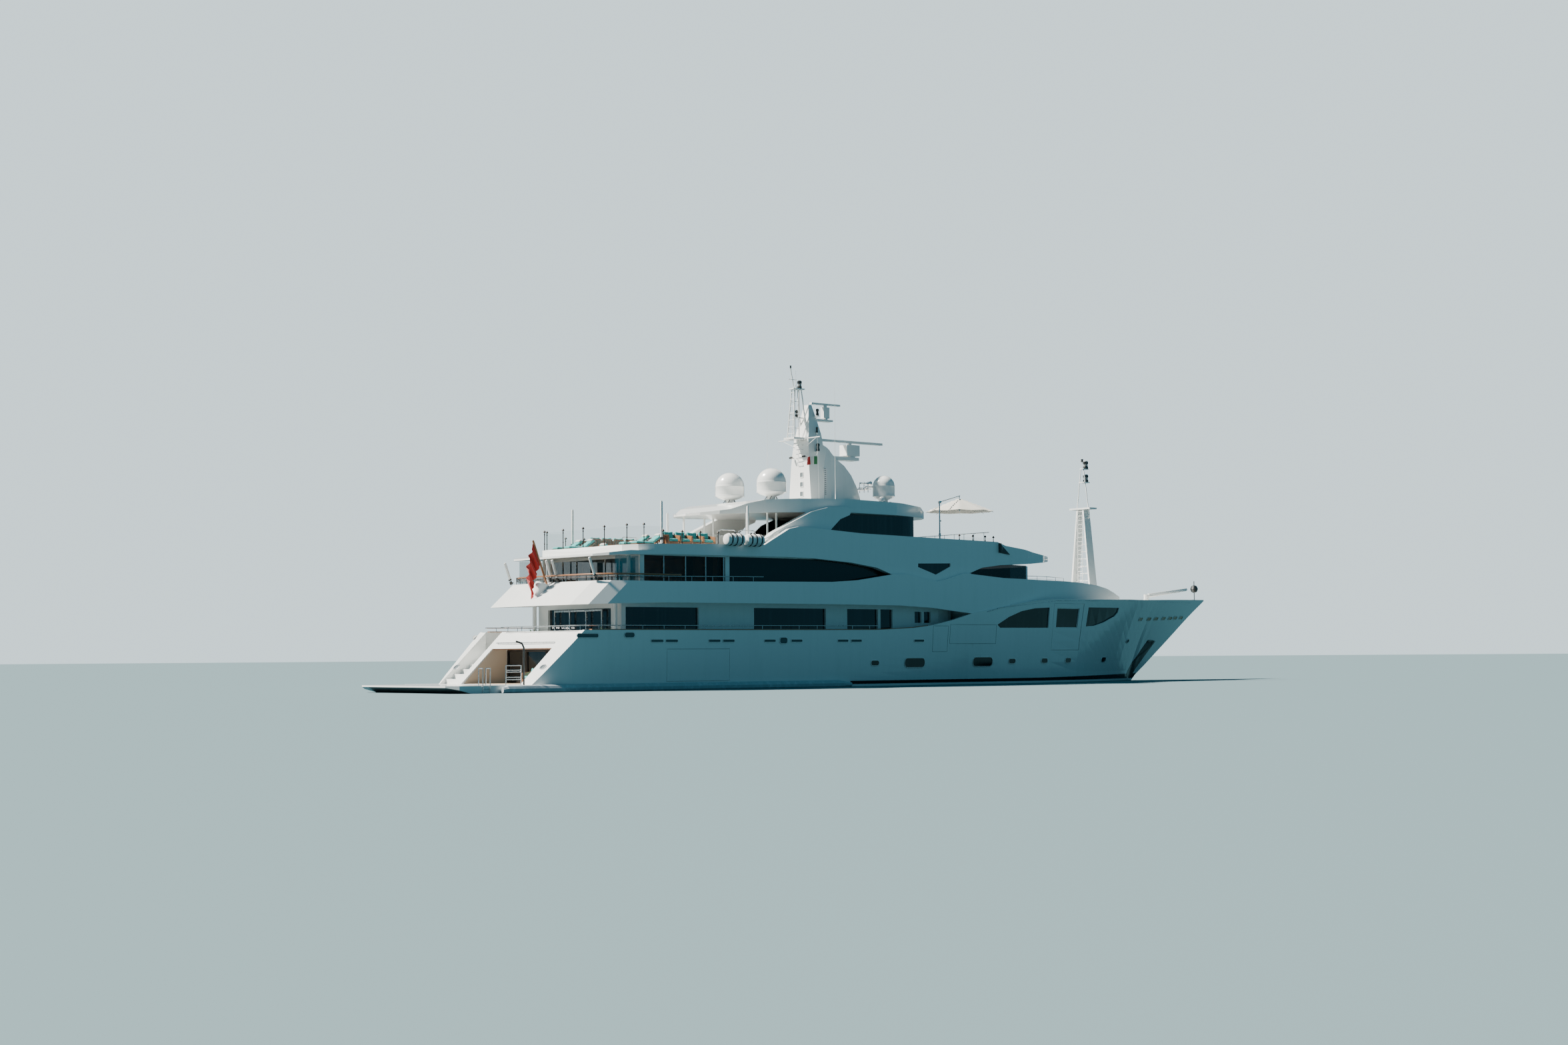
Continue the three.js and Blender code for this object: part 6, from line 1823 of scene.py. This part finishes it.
def parasol_point(ring, turn):
    """A point of the canopy: ring from 0 at the middle to 1 at the rim, turn in radians."""
    sector = 2 * math.pi / PARASOL["ribs"]
    off = (turn % sector) - sector / 2
    edge = PARASOL["radius"] * math.cos(sector / 2) / math.cos(off)
    between = 1 - abs(off) / (sector / 2)
    run = ring * edge
    sag = 0.045 * between * ring * ring
    lap = 0.055 * ((ring * PARASOL["bands"]) % 1.0)
    return run * math.cos(turn), run * math.sin(turn), parasol_slope(ring) - sag + lap


def parasol_canopy(cx, cy):
    rings = 36
    clear()
    bpy.ops.mesh.primitive_circle_add(vertices=64, radius=0.05)
    canopy = bpy.context.object
    begin(canopy, "EDGE")
    select_whole()
    for _ in range(rings - 1):
        draw_out((0, 0, 0.01))
    end()
    for vertex in canopy.data.vertices:
        ring = 0.02 + 0.98 * round(vertex.co.z / 0.01) / (rings - 1)
        x, y, z = parasol_point(ring, math.atan2(vertex.co.y, vertex.co.x) + math.pi / PARASOL["ribs"])
        vertex.co = spot(cx + x, cy + y, z)
    outwards(canopy)
    if sum(polygon.normal.z for polygon in canopy.data.polygons) < 0:
        canopy.data.flip_normals()
    return apply_modifier(canopy, "SOLIDIFY", thickness=0.0025, offset=-1)


def parasol_ribs(cx, cy):
    """Each rib under a corner's seam, with its stay from the hub."""
    ribs = []
    for number in range(PARASOL["ribs"]):
        turn = 2 * math.pi * number / PARASOL["ribs"]
        line = []
        for ring in (0.04 + 0.95 * step / 8 for step in range(9)):
            run = ring * PARASOL["radius"]
            line.append((cx + run * math.cos(turn), cy + run * math.sin(turn), parasol_slope(ring) - 0.035))
        ribs.append(tube(line, 0.014))
        ribs.append(rod((cx, cy, PARASOL["rim"] + 0.2), line[4], 0.01, sides=6))
    return ribs


def build_parasol(side_name):
    side = SIDES[side_name]
    post_y = side * PARASOL["y"]
    cx, cy = PARASOL["x"] + PARASOL["reach"], side * (PARASOL["y"] - PARASOL["inboard"])
    canopy = keep(parasol_canopy(cx, cy), "parasol_canopy_" + side_name, PARASOL_CLOTH, smooth=50)
    ribs = parasol_ribs(cx, cy)
    x, foot = PARASOL["x"], SUN_DECK + 0.01
    post = lathe(
        [
            (0.05, foot + 0.1), (0.05, 9.4), (0.07, 9.42), (0.07, 9.6), (0.045, 9.62), (0.045, 11.6),
            (0.03, 11.65),
        ],
        (x, post_y, 0), steps=14,
    )
    knuckle = block((x - 0.09, post_y - 0.07, 11.5), (x + 0.12, post_y + 0.07, 11.68), 0.03)
    arm = rod((x + 0.02, post_y, 11.6), (cx + 0.06, cy, 12.14), 0.035, 0.028)
    hanger = lathe(
        [
            (0.03, 11.62), (0.05, 11.64), (0.05, 11.9), (0.028, 11.96), (0.028, 12.08), (0.05, 12.1),
            (0.03, 12.16),
        ],
        (cx, cy, 0), steps=12,
    )
    rim, peak = PARASOL["rim"], PARASOL["peak"]
    hub = lathe(
        [(0.05, rim + 0.1), (0.06, rim + 0.14), (0.06, rim + 0.26), (0.03, rim + 0.3), (0.03, peak - 0.06)],
        (cx, cy, 0), steps=12,
    )
    crank = lathe([(0.02, 0), (0.05, 0.01), (0.05, 0.1), (0.02, 0.11)], (x, post_y, 10.4), (1, 0, 0), 12)
    works = keep(join(post, knuckle, arm, hanger, hub, crank, ribs), "parasol_post_" + side_name, STAINLESS)
    base = block(
        (x - 0.36, post_y - 0.36, SUN_DECK + 0.003), (x + 0.36, post_y + 0.36, SUN_DECK + 0.11), 0.03,
    )
    socket = lathe(
        [(0.12, 0), (0.12, 0.02), (0.08, 0.04), (0.08, 0.22), (0.055, 0.24)], (x, post_y, SUN_DECK + 0.1),
        steps=14,
    )
    keep(join(base, socket), "parasol_base_" + side_name, WHITE_PAINT)
    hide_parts("parasol_" + side_name)


for side_name in SIDES:
    build_parasol(side_name)


# ---- Ensign: a tall flag fallen into folds down its staff

STAFF_FOOT, STAFF_HEAD = Vector((-27.57, 0, 5.95)), Vector((-28.53, 0, 8.52))
ENSIGN = {"hoist": 1.35, "fly": 2.55, "top": 0.96, "bottom": 0.48}


def build_ensign():
    """The hoist is laced to the staff; the fly has dropped into soft upright folds."""
    columns, rows = 84, 36
    clear()
    bpy.ops.mesh.primitive_grid_add(x_subdivisions=columns, y_subdivisions=rows, size=1)
    flag = bpy.context.object
    high = STAFF_FOOT.lerp(STAFF_HEAD, ENSIGN["top"])
    low = STAFF_FOOT.lerp(STAFF_HEAD, ENSIGN["bottom"])
    for vertex in flag.data.vertices:
        out, down = vertex.co.x + 0.5, 0.5 - vertex.co.y
        laced = high.lerp(low, down)
        hang = ENSIGN["fly"] * out
        spread = 0.35 * (1 - math.exp(-2.2 * out)) * (1 - 0.35 * down) + 0.22 * down * min(1, 2 * out)
        fold = out * (1 - 0.25 * down)
        wave = 0.15 * math.sin(24 * out + 2.6 * down) * min(1, 3 * out)
        x = laced.x - 0.065 - spread + 0.05 * math.sin(6 * fold + 1.2)
        y = laced.y + wave + 0.07 * math.sin(46 * out + 5 * down) * min(1, 4 * out)
        z = laced.z - 0.93 * hang * (1 - 0.15 * down)
        vertex.co = spot(x, y, z)
    apply_modifier(flag, "SOLIDIFY", thickness=0.0015, offset=0)
    keep(flag, "ensign_cloth", FLAG_RED, smooth=70)
    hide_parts("ensign")
    return flag


ensign_cloth = build_ensign()


for prototype in (MATTRESS, BACK_REST, PILLOW, SEAT_PAD, BACK_PAD):
    bpy.data.objects.remove(prototype)


# ---- Stage: a pale floor at the waterline, a soft high key from the port quarter, and a cool fill

SUN_FROM = {"heel": -26.7, "rake": -34.0, "energy": 14.0, "softness": 5.0}
SUN_COLOUR = (1.0, 0.95, 0.87)
FLOOR_SIZE = 1600
FLOOR_LIT = (0.02, 0.06, 0.075, 1)  # what its bounced light takes on
FLOOR_SEEN = (0.16, 0.23, 0.25, 1)
SKY_FILL, SKY_STRENGTH = (0.15, 0.5, 0.72, 1), 0.36
BACKDROP, BACKDROP_STRENGTH = (0.6, 0.73, 0.77, 1), 1.7


def light_stage():
    clear()
    bpy.ops.mesh.primitive_plane_add(size=FLOOR_SIZE)
    floor = bpy.context.object
    floor.name = "pale_floor"
    tree, shader, made = finish_named("Pale floor", Roughness=0.75, Specular_IOR_Level=0.1)
    seen = add(tree, "LightPath")
    tone = blend_colours(seen.outputs["Is Camera Ray"], FLOOR_LIT, FLOOR_SEEN)
    feed(shader, Base_Color=tone)
    floor.data.materials.append(made)
    turn = (math.radians(SUN_FROM["heel"]), math.radians(SUN_FROM["rake"]), 0)
    bpy.ops.object.light_add(type="SUN", rotation=turn)
    key = bpy.context.object
    key.name = "high_soft_key"
    key.data.energy = SUN_FROM["energy"]
    key.data.angle = math.radians(SUN_FROM["softness"])
    key.data.color = SUN_COLOUR
    world = bpy.data.worlds.new("Pale sky")
    world.use_nodes = True
    tree = world.node_tree
    fill = tree.nodes["Background"]
    feed(fill, Color=SKY_FILL, Strength=SKY_STRENGTH)
    backdrop = add(tree, "Background", in_Color=BACKDROP, in_Strength=BACKDROP_STRENGTH)
    seen = add(tree, "LightPath")
    both = feed(
        add(tree, "MixShader"), _0=seen.outputs["Is Camera Ray"], _1=fill.outputs[0], _2=backdrop.outputs[0]
    )
    link(both.outputs[0], tree.nodes["World Output"].inputs["Surface"])
    bpy.context.scene.world = world


light_stage()
